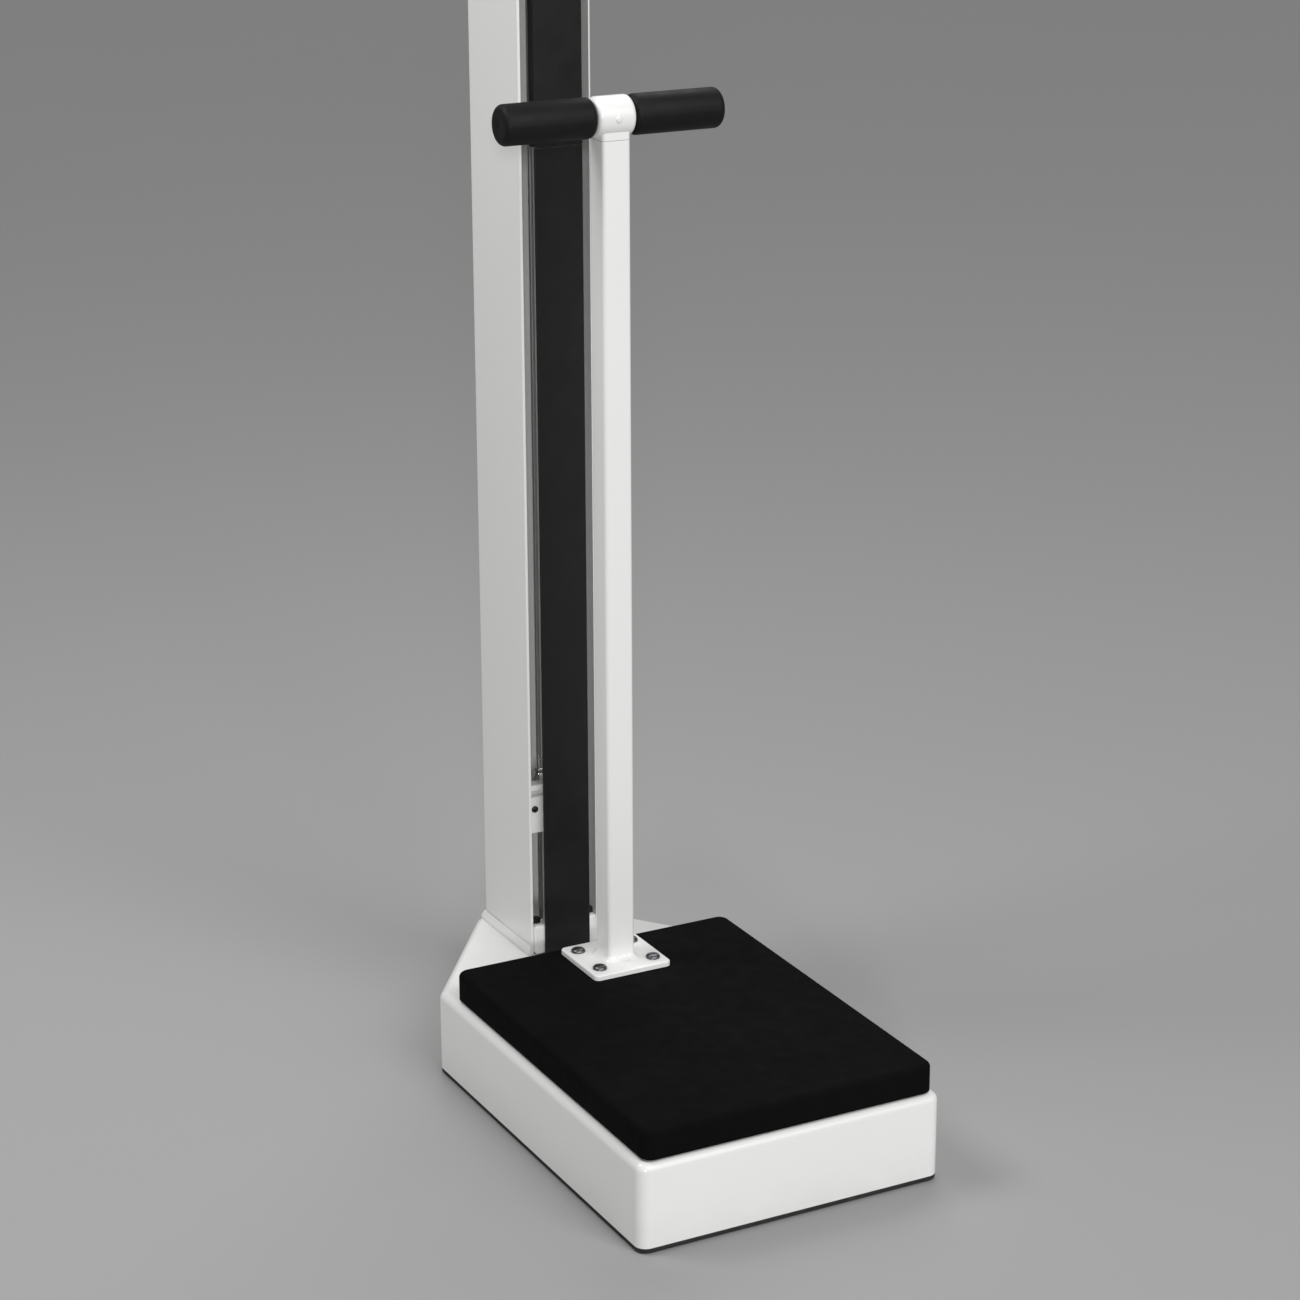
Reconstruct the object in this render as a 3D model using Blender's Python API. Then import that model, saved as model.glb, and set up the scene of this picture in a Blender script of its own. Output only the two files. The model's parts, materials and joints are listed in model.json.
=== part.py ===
"""Physician beam scale: low platform base, rear column, hand post and weigh beam.

Units are metres, +Z is up, +X is to the right of a person who faces the column and
+Y points from the platform to the column. The origin lies on the floor, at the centre
of the scale's overall box. Touching pieces keep the clearance GAP.
"""

from math import atan2, cos, pi, sin, tan

import bmesh
import bpy
from mathutils import Vector

MM = 0.001
GAP = 0.3 * MM

# Overall size
OVERALL_WIDTH = 520.7 * MM
OVERALL_DEPTH = 516 * MM
OVERALL_HEIGHT = 1473 * MM

# Base cover: a skirt under the platform, with a tapered rear that carries the column
BASE_WIDTH = 279 * MM
BASE_DEPTH = 379 * MM
BASE_LOW = 5 * MM
BASE_TOP = 78 * MM
REAR_WIDTH = 78 * MM
COVER_WALL = 2 * MM
COVER_CORNER = 10 * MM
COVER_ROUND = 7 * MM
OPENING_LIP = 15 * MM

# Platform: a steel pan with a rubber mat, floating above the base cover
PLATFORM_WIDTH = 267 * MM
PLATFORM_DEPTH = 355 * MM
PLATFORM_MARGIN = 2.5 * MM
PLATFORM_LOW = 79.5 * MM
PLATFORM_TOP = 105.5 * MM
PLATFORM_CORNER = 10 * MM
PAN_WALL = 2 * MM
PAN_PLATE = 3 * MM
MAT_THICKNESS = 3.7 * MM
MAT_EDGE = 3 * MM

# Column
COLUMN_WIDTH = 67 * MM
COLUMN_DEPTH = 99.5 * MM
COLUMN_TOP = 1368 * MM
COLUMN_WALL = 2 * MM
COLUMN_SETBACK = 4.8 * MM
STRIP_WIDTH = 44.5 * MM
STRIP_STANDOFF = 6 * MM
STRIP_WALL = 2.5 * MM
STRIP_RETURN = 11 * MM
STRIP_JOINT_Z = 806 * MM
FOOT_BLOCK_HEIGHT = 28 * MM
SLIT_SETBACK = 2 * MM
LOWER_TIE_Z = 194 * MM

# Hand post
POST_WIDTH = 25.4 * MM
POST_WALL = 2 * MM
FLANGE_WIDTH = 74 * MM
FLANGE_DEPTH = 71 * MM
FLANGE_THICKNESS = 4.5 * MM
FLANGE_BOLT_X = 26 * MM
FLANGE_BOLT_Y = 21 * MM
HANDLE_LENGTH = 198 * MM
GRIP_RADIUS = 16.8 * MM
HANDLE_Z = 844 * MM
TEE_LENGTH = 34 * MM
TEE_RADIUS = 17 * MM
TEE_NECK = 17.8 * MM
BAR_RADIUS = 10 * MM

# Lever system: LEVER_REACH is from a lever's fulcrum to its load pivot
FULCRUM_SPAN = 316 * MM
LEVER_REACH = 55 * MM
LEVER_BAR = 10 * MM
LONG_LEVER_Z = 39 * MM
SHORT_LEVER_Z = 20 * MM
LEVER_HALF_WIDTH = 90 * MM
PIVOT_RADIUS = 4 * MM
BEARING_X = 105 * MM
RAIL_LOW = 6 * MM
RAIL_THICKNESS = 4 * MM
RAIL_WIDTH = 24 * MM
FOOT_RADIUS = 13 * MM

# Weigh beam
ROD_RADIUS = 2 * MM
BEAM_LOAD_ARM = 45 * MM
BEAM_PIVOT_Z = 1411 * MM
BEAM_THICKNESS = 8 * MM
MAIN_BAR = (1428 * MM, 1444 * MM)
SMALL_BAR = (1458 * MM, 1466 * MM)
BEAM_HALF_LENGTH = 205 * MM
BEAM_POST = 15 * MM
MAIN_POISE_ZERO = -160 * MM
SMALL_POISE_ZERO = -176 * MM
NOTCH_COUNT = 8
BALANCE_SCREW_RADIUS = 2.5 * MM
BALANCE_FRAME = (-249.5 * MM, -203 * MM)
BALANCE_FRAME_WALL = 4 * MM
BALANCE_FRAME_HEIGHT = 23 * MM
BALANCE_WEIGHT_LENGTH = 16 * MM
SHELF_LOW = 1376.3 * MM
SHELF_TOP = 1386 * MM

# Places that follow from the sizes
BASE_FRONT = -OVERALL_DEPTH / 2
BASE_BACK = BASE_FRONT + BASE_DEPTH
REAR_END = OVERALL_DEPTH / 2
PLATFORM_Y = BASE_FRONT + PLATFORM_MARGIN + PLATFORM_DEPTH / 2
COLUMN_BACK = REAR_END - COLUMN_SETBACK
COLUMN_FRONT = COLUMN_BACK - COLUMN_DEPTH
COLUMN_LOW = BASE_TOP + GAP
STRIP_FRONT = COLUMN_FRONT - STRIP_STANDOFF
ROD_Y = (COLUMN_FRONT + COLUMN_BACK) / 2
POST_Y = PLATFORM_Y + 132 * MM
FLANGE_LOW = PLATFORM_TOP + GAP
FLANGE_TOP = FLANGE_LOW + FLANGE_THICKNESS
LONG_FULCRUM_Y = PLATFORM_Y - FULCRUM_SPAN / 2
SHORT_FULCRUM_Y = PLATFORM_Y + FULCRUM_SPAN / 2
LONG_LOAD_Y = LONG_FULCRUM_Y + LEVER_REACH
SHORT_LOAD_Y = SHORT_FULCRUM_Y - LEVER_REACH
BRACKET_FRONT = ROD_Y - 18 * MM
BRACKET_BACK = ROD_Y + 36 * MM
BALANCE_Z = (MAIN_BAR[0] + MAIN_BAR[1]) / 2
BALANCE_X = (BALANCE_FRAME[0] + BALANCE_FRAME[1]) / 2

# Joint axes: each moving body's empty stands at its place
BODY_PLACES = {
    "base": (0, 0, 0),
    "platform": (0, PLATFORM_Y, PLATFORM_TOP),
    "long_lever": (0, LONG_FULCRUM_Y, LONG_LEVER_Z),
    "short_lever": (0, SHORT_FULCRUM_Y, SHORT_LEVER_Z),
    "steelyard": (0, ROD_Y, LONG_LEVER_Z),
    "beam": (BEAM_LOAD_ARM, ROD_Y, BEAM_PIVOT_Z),
    "main_poise": (MAIN_POISE_ZERO, ROD_Y, MAIN_BAR[1]),
    "small_poise": (SMALL_POISE_ZERO, ROD_Y, SMALL_BAR[1]),
    "balance_screw": (BALANCE_X, ROD_Y, BALANCE_Z),
    "balance_weight": (BALANCE_X, ROD_Y, BALANCE_Z),
}
BODY_PARENTS = {
    "main_poise": "beam",
    "small_poise": "beam",
    "balance_screw": "beam",
    "balance_weight": "beam",
}

# name: colour, roughness, metallic
FINISHES = {
    "white_enamel": ((0.82, 0.82, 0.80), 0.30, 0.0),
    "black_enamel": ((0.020, 0.020, 0.021), 0.40, 0.0),
    "black_rubber": ((0.012, 0.012, 0.012), 0.75, 0.0),
    "grip_vinyl": ((0.025, 0.025, 0.026), 0.50, 0.0),
    "bright_steel": ((0.62, 0.62, 0.60), 0.28, 1.0),
    "dark_steel": ((0.085, 0.085, 0.088), 0.42, 1.0),
    "cast_iron": ((0.10, 0.10, 0.11), 0.65, 0.6),
    "die_cast": ((0.70, 0.70, 0.69), 0.35, 0.9),
    "brass": ((0.60, 0.44, 0.18), 0.32, 1.0),
}


# --- Scene, materials and bodies -------------------------------------------------------

def clear_scene():
    for item in list(bpy.data.objects):
        bpy.data.objects.remove(item, do_unlink=True)


def finish(name):
    material = bpy.data.materials.get(name)
    if material is None:
        colour, roughness, metallic = FINISHES[name]
        material = bpy.data.materials.new(name)
        material.use_nodes = True
        shader = material.node_tree.nodes["Principled BSDF"]
        shader.inputs["Base Color"].default_value = (*colour, 1)
        shader.inputs["Roughness"].default_value = roughness
        shader.inputs["Metallic"].default_value = metallic
        material.diffuse_color = (*colour, 1)
    return material


def make_bodies():
    empties = {}
    for body, place in BODY_PLACES.items():
        empty = bpy.data.objects.new("axis_" + body, None)
        empty.empty_display_size = 0.03
        bpy.context.scene.collection.objects.link(empty)
        parent = empties.get(BODY_PARENTS.get(body))
        offset = Vector(place)
        if parent is not None:
            empty.parent = parent
            offset = offset - Vector(BODY_PLACES[BODY_PARENTS[body]])
        empty.location = offset
        empties[body] = empty
    return empties


def add_piece(name, mesh_builder, body, material, smooth=False):
    """Makes a node from a bmesh in world coordinates and hangs it on its body's empty."""
    place = Vector(BODY_PLACES[body])
    bmesh.ops.translate(mesh_builder, verts=mesh_builder.verts, vec=-place)
    bmesh.ops.recalc_face_normals(mesh_builder, faces=mesh_builder.faces)
    mesh = bpy.data.meshes.new(name)
    mesh_builder.to_mesh(mesh)
    mesh_builder.free()
    if smooth:
        mesh.shade_smooth()
        mesh.set_sharp_from_angle(angle=0.6)
    mesh.materials.append(finish(material))
    piece = bpy.data.objects.new(name, mesh)
    bpy.context.scene.collection.objects.link(piece)
    piece.parent = EMPTIES[body]
    return piece


def cut(piece, body, *cutter_meshes):
    """Subtracts closed shapes, given in world coordinates, from a piece."""
    for number, cutter_mesh in enumerate(cutter_meshes):
        cutter = add_piece(f"{piece.name}_cutter_{number}", cutter_mesh, body, "cast_iron")
        cutter.hide_render = True
        cutter.display_type = "WIRE"
        boolean = piece.modifiers.new("cut", "BOOLEAN")
        boolean.operation = "DIFFERENCE"
        boolean.solver = "EXACT"
        boolean.object = cutter
    return piece


def round_edges(piece, width, segments=2, angle=0.7):
    bevel = piece.modifiers.new("round", "BEVEL")
    bevel.width = width
    bevel.segments = segments
    bevel.limit_method = "ANGLE"
    bevel.angle_limit = angle
    return piece


# --- Shapes ----------------------------------------------------------------------------

# Puts two cross-section coordinates and a place along an axis into x, y, z order
AXIS_ORDER = {
    "X": lambda a, b, along: (along, a, b),
    "Y": lambda a, b, along: (a, along, b),
    "Z": lambda a, b, along: (a, b, along),
}


def loft(rings, closed=False):
    """Skins a list of equally long point rings; the ends are capped unless it closes."""
    builder = bmesh.new()
    rows = [[builder.verts.new(point) for point in ring] for ring in rings]
    count = len(rows[0])
    pairs = list(zip(rows, rows[1:]))
    if closed:
        pairs.append((rows[-1], rows[0]))
    for low, high in pairs:
        for i in range(count):
            j = (i + 1) % count
            builder.faces.new((low[i], low[j], high[j], high[i]))
    if not closed:
        builder.faces.new(list(reversed(rows[0])))
        builder.faces.new(rows[-1])
    return builder


def box(x_range, y_range, z_range):
    corners = [(x_range[i], y_range[j]) for i, j in ((0, 0), (1, 0), (1, 1), (0, 1))]
    return loft([[(x, y, z) for x, y in corners] for z in z_range])


def prism(points, axis, span):
    """Extrudes an outline along X (points are y, z), Y (points are x, z) or Z."""
    place = AXIS_ORDER[axis]
    return loft([[place(a, b, s) for a, b in points] for s in span])


def circle(radius, count, centre=(0, 0), turn=0.0):
    return [
        (centre[0] + radius * cos(turn + 2 * pi * i / count),
         centre[1] + radius * sin(turn + 2 * pi * i / count))
        for i in range(count)
    ]


def rod(axis, centre, radius, span, count=12, turn=0.0):
    """A round bar along an axis; centre holds the two other coordinates."""
    return prism(circle(radius, count, centre, turn), axis, span)


def turned(profile, axis, centre, count=20, closed=False):
    """Turns a profile of (position along the axis, radius) points round the axis."""
    rings = []
    for along, radius in profile:
        points = circle(radius, count, centre)
        rings.append([AXIS_ORDER[axis](a, b, along) for a, b in points])
    return loft(rings, closed)


def rounded_outline(corners, inset=0.0, radius=0.0, steps=3):
    """A convex outline moved inwards by inset, its corners rounded with steps + 1 points."""
    count = len(corners)
    lines = []
    for i in range(count):
        start = Vector(corners[i])
        along = (Vector(corners[(i + 1) % count]) - start).normalized()
        inward = Vector((-along.y, along.x))
        lines.append((start + inward * inset, along))
    outline = []
    for i in range(count):
        (p, d), (q, e) = lines[i - 1], lines[i]
        cross = d.x * e.y - d.y * e.x
        reach = ((q.x - p.x) * e.y - (q.y - p.y) * e.x) / cross
        corner = p + d * reach
        swing = atan2(cross, d.dot(e))
        run = radius * tan(swing / 2)
        centre = corner - d * run + Vector((-d.y, d.x)) * radius
        first = atan2(-d.x, d.y)
        for k in range(steps + 1):
            angle = first + swing * k / steps
            outline.append((centre.x + radius * cos(angle), centre.y + radius * sin(angle)))
    return outline


def rectangle(width, depth, centre=(0, 0)):
    x, y = centre
    return [
        (x - width / 2, y - depth / 2),
        (x + width / 2, y - depth / 2),
        (x + width / 2, y + depth / 2),
        (x - width / 2, y + depth / 2),
    ]


def at_height(points, z):
    return [(x, y, z) for x, y in points]


def pan(corners, low, top, wall, plate, corner_radius, edge_round):
    """A pan that is open below: rings down its inside, then up its outside."""
    def ring(inset, z):
        radius = max(corner_radius - inset, 0.5 * MM)
        return at_height(rounded_outline(corners, inset, radius), z)

    bend = 1 - sin(pi / 4)
    inside = edge_round - wall
    rings = [ring(wall, top - plate)]
    if inside > 0:
        rings = [ring(wall + inside, top - plate), ring(wall + inside * bend, top - plate - inside * bend),
                 ring(wall, top - plate - inside)]
    rings += [ring(wall, low), ring(0, low), ring(0, top - edge_round)]
    rings += [ring(edge_round * bend, top - edge_round * bend), ring(edge_round, top)]
    return loft(rings)


# --- Base ------------------------------------------------------------------------------

def base_corners():
    return [
        (-BASE_WIDTH / 2, BASE_FRONT),
        (BASE_WIDTH / 2, BASE_FRONT),
        (BASE_WIDTH / 2, BASE_BACK),
        (REAR_WIDTH / 2, REAR_END),
        (-REAR_WIDTH / 2, REAR_END),
        (-BASE_WIDTH / 2, BASE_BACK),
    ]


def make_base_cover():
    shell = pan(base_corners(), BASE_LOW, BASE_TOP, COVER_WALL, COVER_WALL,
                COVER_CORNER, COVER_ROUND)
    cover = add_piece("base_cover", shell, "base", "white_enamel")
    opening = rectangle(PLATFORM_WIDTH - 2 * OPENING_LIP, PLATFORM_DEPTH - 2 * OPENING_LIP,
                        (0, PLATFORM_Y))
    window = prism(rounded_outline(opening, 0, 10 * MM, 2), "Z", (BASE_TOP - 8 * MM, BASE_TOP + 8 * MM))
    rod_hole = rod("Z", (0, ROD_Y), 12 * MM, (BASE_TOP - 8 * MM, BASE_TOP + 8 * MM), 16)
    cut(cover, "base", window, rod_hole)


def make_cross_rail(name, y, axis_z):
    """A strap across the base with upturned ends and two notched ears for a pivot."""
    end = BASE_WIDTH / 2 - COVER_WALL - GAP
    low = RAIL_LOW
    top = RAIL_LOW + RAIL_THICKNESS
    ear = 4 * MM
    ear_top = axis_z + 5 * MM
    right = [
        (end, low), (end, low + 26 * MM), (end - RAIL_THICKNESS, low + 26 * MM),
        (end - RAIL_THICKNESS, top), (BEARING_X + ear, top), (BEARING_X + ear, ear_top),
        (BEARING_X - ear, ear_top), (BEARING_X - ear, top),
    ]
    outline = right + [(-x, z) for x, z in reversed(right)]
    body = prism(outline, "Y", (y - RAIL_WIDTH / 2, y + RAIL_WIDTH / 2))
    rail = add_piece(name, body, "base", "cast_iron")
    reach = PIVOT_RADIUS + GAP
    notch = [
        (y - 9 * MM, axis_z + 9 * MM), (y - reach, axis_z), (y - reach * 0.7, axis_z - reach),
        (y + reach * 0.7, axis_z - reach), (y + reach, axis_z), (y + 9 * MM, axis_z + 9 * MM),
    ]
    cut(rail, "base", prism(notch, "X", (-BEARING_X - 9 * MM, BEARING_X + 9 * MM)))


def make_column_bracket():
    """The U bracket inside the rear of the base that stands under the column."""
    half = 42 * MM
    wall = 4 * MM
    top = BASE_TOP - COVER_WALL - GAP
    outline = [
        (-half, RAIL_LOW), (half, RAIL_LOW), (half, top), (half - 12 * MM, top),
        (half - 12 * MM, top - wall), (half - wall, top - wall),
        (half - wall, RAIL_LOW + wall), (wall - half, RAIL_LOW + wall),
        (wall - half, top - wall), (12 * MM - half, top - wall),
        (12 * MM - half, top), (-half, top),
    ]
    body = prism(outline, "Y", (BRACKET_FRONT, BRACKET_BACK))
    add_piece("column_bracket", body, "base", "cast_iron")


def make_feet():
    side = BEARING_X
    middle = (BRACKET_FRONT + BRACKET_BACK) / 2
    places = {
        "foot_front_left": (-side, LONG_FULCRUM_Y),
        "foot_front_right": (side, LONG_FULCRUM_Y),
        "foot_rear_left": (-side, SHORT_FULCRUM_Y),
        "foot_rear_right": (side, SHORT_FULCRUM_Y),
        "foot_column": (0, middle),
    }
    top = RAIL_LOW - GAP
    for name, centre in places.items():
        profile = [(0, FOOT_RADIUS - 1.2 * MM), (1.2 * MM, FOOT_RADIUS), (top, FOOT_RADIUS)]
        add_piece(name, turned(profile, "Z", centre), "base", "black_rubber", smooth=True)


# --- Column ----------------------------------------------------------------------------

def channel_outline(width, back, front, wall, corner=0.0):
    """A channel that is open to the front, in plan: round the outside, then the inside."""
    half = width / 2
    inner = half - wall
    turn = corner * (1 - cos(pi / 4))
    outside = [
        (half, front), (half, back - corner), (half - turn, back - turn), (half - corner, back),
        (corner - half, back), (turn - half, back - turn), (-half, back - corner), (-half, front),
    ]
    inside = [(-inner, front), (-inner, back - wall), (inner, back - wall), (inner, front)]
    return outside + inside


def make_column():
    shell = prism(channel_outline(COLUMN_WIDTH, COLUMN_BACK, COLUMN_FRONT, COLUMN_WALL, 4 * MM),
                  "Z", (COLUMN_LOW, COLUMN_TOP))
    add_piece("column_shell", shell, "base", "white_enamel")

    def collar_ring(wall, z):
        outline = channel_outline(COLUMN_WIDTH + 2 * (wall + GAP), COLUMN_BACK + GAP + wall,
                                  COLUMN_FRONT, wall, 4 * MM)
        return at_height(outline, COLUMN_LOW + z)

    collar = loft([collar_ring(3.4 * MM, 0), collar_ring(3.4 * MM, 2 * MM),
                   collar_ring(0.8 * MM, 8 * MM)])
    add_piece("column_collar", collar, "base", "white_enamel")

    inner = COLUMN_WIDTH / 2 - COLUMN_WALL - GAP
    front, back = STRIP_FRONT + STRIP_WALL + GAP, COLUMN_FRONT + 14 * MM
    top = COLUMN_LOW + FOOT_BLOCK_HEIGHT
    block = add_piece("column_foot_block", box((-inner, inner), (front, back), (COLUMN_LOW, top)),
                      "base", "white_enamel")
    round_edges(block, 3 * MM)
    bolt_x, bolt_y = 26.4 * MM, COLUMN_FRONT + 5.5 * MM
    for name, x in (("foot_bolt_left", -bolt_x), ("foot_bolt_right", bolt_x)):
        cut(block, "base", rod("Z", (x, bolt_y), 2.3 * MM, (top - 14 * MM, top + MM), 8))
        seat = top + GAP
        profile = [
            (top - 13 * MM, 2 * MM), (seat, 2 * MM), (seat, 4.2 * MM),
            (seat + 4 * MM, 4.2 * MM), (seat + 5 * MM, 3.2 * MM),
        ]
        add_piece(name, turned(profile, "Z", (x, bolt_y), 12), "base", "dark_steel", smooth=True)


def make_front_strip():
    """The black trim in the mouth of the column: a flat plate below, a channel above."""
    half = STRIP_WIDTH / 2
    plate = box((-half, half), (STRIP_FRONT, STRIP_FRONT + STRIP_WALL), (COLUMN_LOW, STRIP_JOINT_Z))
    add_piece("front_plate_lower", plate, "base", "black_enamel")

    inner = half - STRIP_WALL
    back = STRIP_FRONT + STRIP_RETURN
    outline = [
        (-half, STRIP_FRONT), (half, STRIP_FRONT), (half, back), (inner, back),
        (inner, STRIP_FRONT + STRIP_WALL), (-inner, STRIP_FRONT + STRIP_WALL),
        (-inner, back), (-half, back),
    ]
    channel = prism(outline, "Z", (STRIP_JOINT_Z + GAP, COLUMN_TOP))
    add_piece("front_channel_upper", channel, "base", "black_enamel")


def make_strip_ties():
    """Cross ties in the column's mouth that hold the front plate and channel."""
    inner = COLUMN_WIDTH / 2 - COLUMN_WALL - GAP
    behind_channel = STRIP_FRONT + STRIP_RETURN + GAP
    back = COLUMN_FRONT + 14 * MM
    ties = {
        "strip_tie_middle": (behind_channel, STRIP_JOINT_Z + 2 * MM, 15 * MM),
        "strip_tie_upper": (behind_channel, COLUMN_TOP - 60 * MM, 20 * MM),
    }
    for name, (front, low, height) in ties.items():
        tie = box((-inner, inner), (front, back), (low, low + height))
        add_piece(name, tie, "base", "white_enamel")

    # The lower tie is a bracket from the left wall, with a lip above a groove and one screw
    front = COLUMN_FRONT + SLIT_SETBACK
    low, high = LOWER_TIE_Z, LOWER_TIE_Z + 45 * MM
    groove = (LOWER_TIE_Z + 34 * MM, LOWER_TIE_Z + 40 * MM)
    outline = [
        (front, low), (back, low), (back, high), (front, high),
        (front, groove[1]), (front + 8 * MM, groove[1]), (front + 8 * MM, groove[0]), (front, groove[0]),
    ]
    tie = add_piece("strip_tie_lower", prism(outline, "X", (-inner, 14 * MM)), "base", "white_enamel")
    x, z = -27.6 * MM, LOWER_TIE_Z + 23 * MM
    depth = 9 * MM
    cut(tie, "base", rod("Y", (x, z), 1.8 * MM, (front - MM, front + depth + MM), 8))
    face = front - GAP
    profile = [
        (front + depth, 1.5 * MM), (face, 1.5 * MM), (face, 3 * MM),
        (face - 1.2 * MM, 2.6 * MM), (face - 2 * MM, 1.2 * MM),
    ]
    screw = turned(profile, "Y", (x, z), 10)
    add_piece("tie_screw", screw, "base", "dark_steel", smooth=True)


# --- Platform and hand post ------------------------------------------------------------

def bolt_places():
    return [(x, POST_Y + y) for x in (-FLANGE_BOLT_X, FLANGE_BOLT_X)
            for y in (-FLANGE_BOLT_Y, FLANGE_BOLT_Y)]


def bolt_holes(low, high):
    return [rod("Z", place, 3 * MM, (low, high), 8) for place in bolt_places()]


def make_platform():
    corners = rectangle(PLATFORM_WIDTH, PLATFORM_DEPTH, (0, PLATFORM_Y))
    pan_top = PLATFORM_TOP - MAT_THICKNESS - GAP
    body = pan(corners, PLATFORM_LOW, pan_top, PAN_WALL, PAN_PLATE, PLATFORM_CORNER, 0.8 * MM)
    tray = add_piece("platform_pan", body, "platform", "black_enamel")
    cut(tray, "platform", *bolt_holes(pan_top - 8 * MM, pan_top + 4 * MM))

    def ring(inset, z):
        return at_height(rounded_outline(corners, inset, PLATFORM_CORNER - inset), z)

    bend = MAT_EDGE * (1 - sin(pi / 4))
    mat = loft([ring(0, pan_top + GAP), ring(0, PLATFORM_TOP - MAT_EDGE),
                ring(bend, PLATFORM_TOP - bend), ring(MAT_EDGE, PLATFORM_TOP)])
    sheet = add_piece("platform_mat", mat, "platform", "black_rubber")
    cut(sheet, "platform", *bolt_holes(pan_top - 4 * MM, PLATFORM_TOP + 4 * MM))


def make_platform_bearings():
    """Four legs under the pan; each rests on a load pivot in a slot that is open below."""
    under_pan = PLATFORM_TOP - MAT_THICKNESS - 2 * GAP - PAN_PLATE
    for end, y, axis_z in (("front", LONG_LOAD_Y, LONG_LEVER_Z), ("rear", SHORT_LOAD_Y, SHORT_LEVER_Z)):
        slot = PIVOT_RADIUS + GAP
        low = axis_z - 3 * MM
        half = 9 * MM
        outline = [
            (y - half, low), (y - slot, low), (y - slot, axis_z + slot), (y + slot, axis_z + slot),
            (y + slot, low), (y + half, low), (y + half, under_pan), (y - half, under_pan),
        ]
        for side, x in (("left", -BEARING_X), ("right", BEARING_X)):
            leg = prism(outline, "X", (x - 6 * MM, x + 6 * MM))
            add_piece(f"platform_leg_{end}_{side}", leg, "platform", "cast_iron")


def make_hand_post():
    flange_corners = rectangle(FLANGE_WIDTH, FLANGE_DEPTH, (0, POST_Y))

    def flange_ring(inset, z):
        return at_height(rounded_outline(flange_corners, inset, 3 * MM - inset, 2), z)

    flange = loft([flange_ring(0, FLANGE_LOW), flange_ring(0, FLANGE_TOP - 1 * MM),
                   flange_ring(1 * MM, FLANGE_TOP)])
    plate = add_piece("post_flange", flange, "platform", "white_enamel")
    cut(plate, "platform", *bolt_holes(FLANGE_LOW - 4 * MM, FLANGE_TOP + 4 * MM))

    for number, (x, y) in enumerate(bolt_places(), 1):
        head = FLANGE_TOP + GAP
        profile = [
            (PLATFORM_TOP - 14 * MM, 2.6 * MM), (head, 2.6 * MM), (head, 6.2 * MM),
            (head + 1.6 * MM, 5.6 * MM), (head + 3 * MM, 3.2 * MM),
        ]
        screw = turned(profile, "Z", (x, y), 12)
        add_piece(f"flange_screw_{number}", screw, "platform", "dark_steel", smooth=True)

    square = rectangle(POST_WIDTH, POST_WIDTH, (0, POST_Y))

    def tube_ring(inset, z):
        return at_height(rounded_outline(square, inset, 3 * MM - inset, 3), z)

    neck_low = HANDLE_Z - TEE_NECK
    low, high = FLANGE_TOP + GAP, neck_low - GAP
    tube = loft([tube_ring(0, low), tube_ring(0, high), tube_ring(POST_WALL, high),
                 tube_ring(POST_WALL, low)], closed=True)
    add_piece("post_tube", tube, "platform", "white_enamel")

    # The fitting on the post: a short round sleeve for the bar, on a square neck
    half, edge = TEE_LENGTH / 2, 3 * MM
    turns = [(sin(k * pi / 6) * edge, cos(k * pi / 6) * edge) for k in range(4)]
    left = [(edge - half - a, TEE_RADIUS - edge + b) for a, b in reversed(turns)]
    right = [(half - edge + a, TEE_RADIUS - edge + b) for a, b in turns]
    sleeve = turned(left + right, "X", (POST_Y, HANDLE_Z), 28)
    fitting = add_piece("post_tee", sleeve, "platform", "white_enamel", smooth=True)
    join(fitting, "platform", loft([tube_ring(0, neck_low), tube_ring(0, HANDLE_Z)]))
    bore = rod("X", (POST_Y, HANDLE_Z), BAR_RADIUS + GAP, (-TEE_LENGTH, TEE_LENGTH), 20)
    cut(fitting, "platform", bore)


def make_handle():
    bar_end = HANDLE_LENGTH / 2 - 4 * MM - GAP
    bar = rod("X", (POST_Y, HANDLE_Z), BAR_RADIUS, (-bar_end, bar_end), 20)
    add_piece("handle_bar", bar, "platform", "bright_steel", smooth=True)

    start = TEE_LENGTH / 2 + GAP
    end = HANDLE_LENGTH / 2
    bore = BAR_RADIUS + GAP
    edge = 5 * MM
    turns = [(sin(k * pi / 6) * edge, cos(k * pi / 6) * edge) for k in range(4)]
    inner_end = [(start + edge - a, GRIP_RADIUS - edge + b) for a, b in reversed(turns)]
    outer_end = [(end - edge + a, GRIP_RADIUS - edge + b) for a, b in turns]
    profile = [(bar_end + GAP, bore), (start, bore)] + inner_end + outer_end
    for name, sign in (("grip_left", -1), ("grip_right", 1)):
        grip = turned([(sign * x, r) for x, r in profile], "X", (POST_Y, HANDLE_Z), 24)
        add_piece(name, grip, "platform", "grip_vinyl", smooth=True)


# --- Levers ----------------------------------------------------------------------------

def join(piece, body, *shapes):
    """Unites closed shapes, given in world coordinates, with a piece."""
    for number, shape in enumerate(shapes):
        other = add_piece(f"{piece.name}_joined_{number}", shape, body, "cast_iron")
        other.hide_render = True
        other.display_type = "WIRE"
        boolean = piece.modifiers.new("join", "BOOLEAN")
        boolean.operation = "UNION"
        boolean.solver = "EXACT"
        boolean.object = other
    return piece


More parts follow.
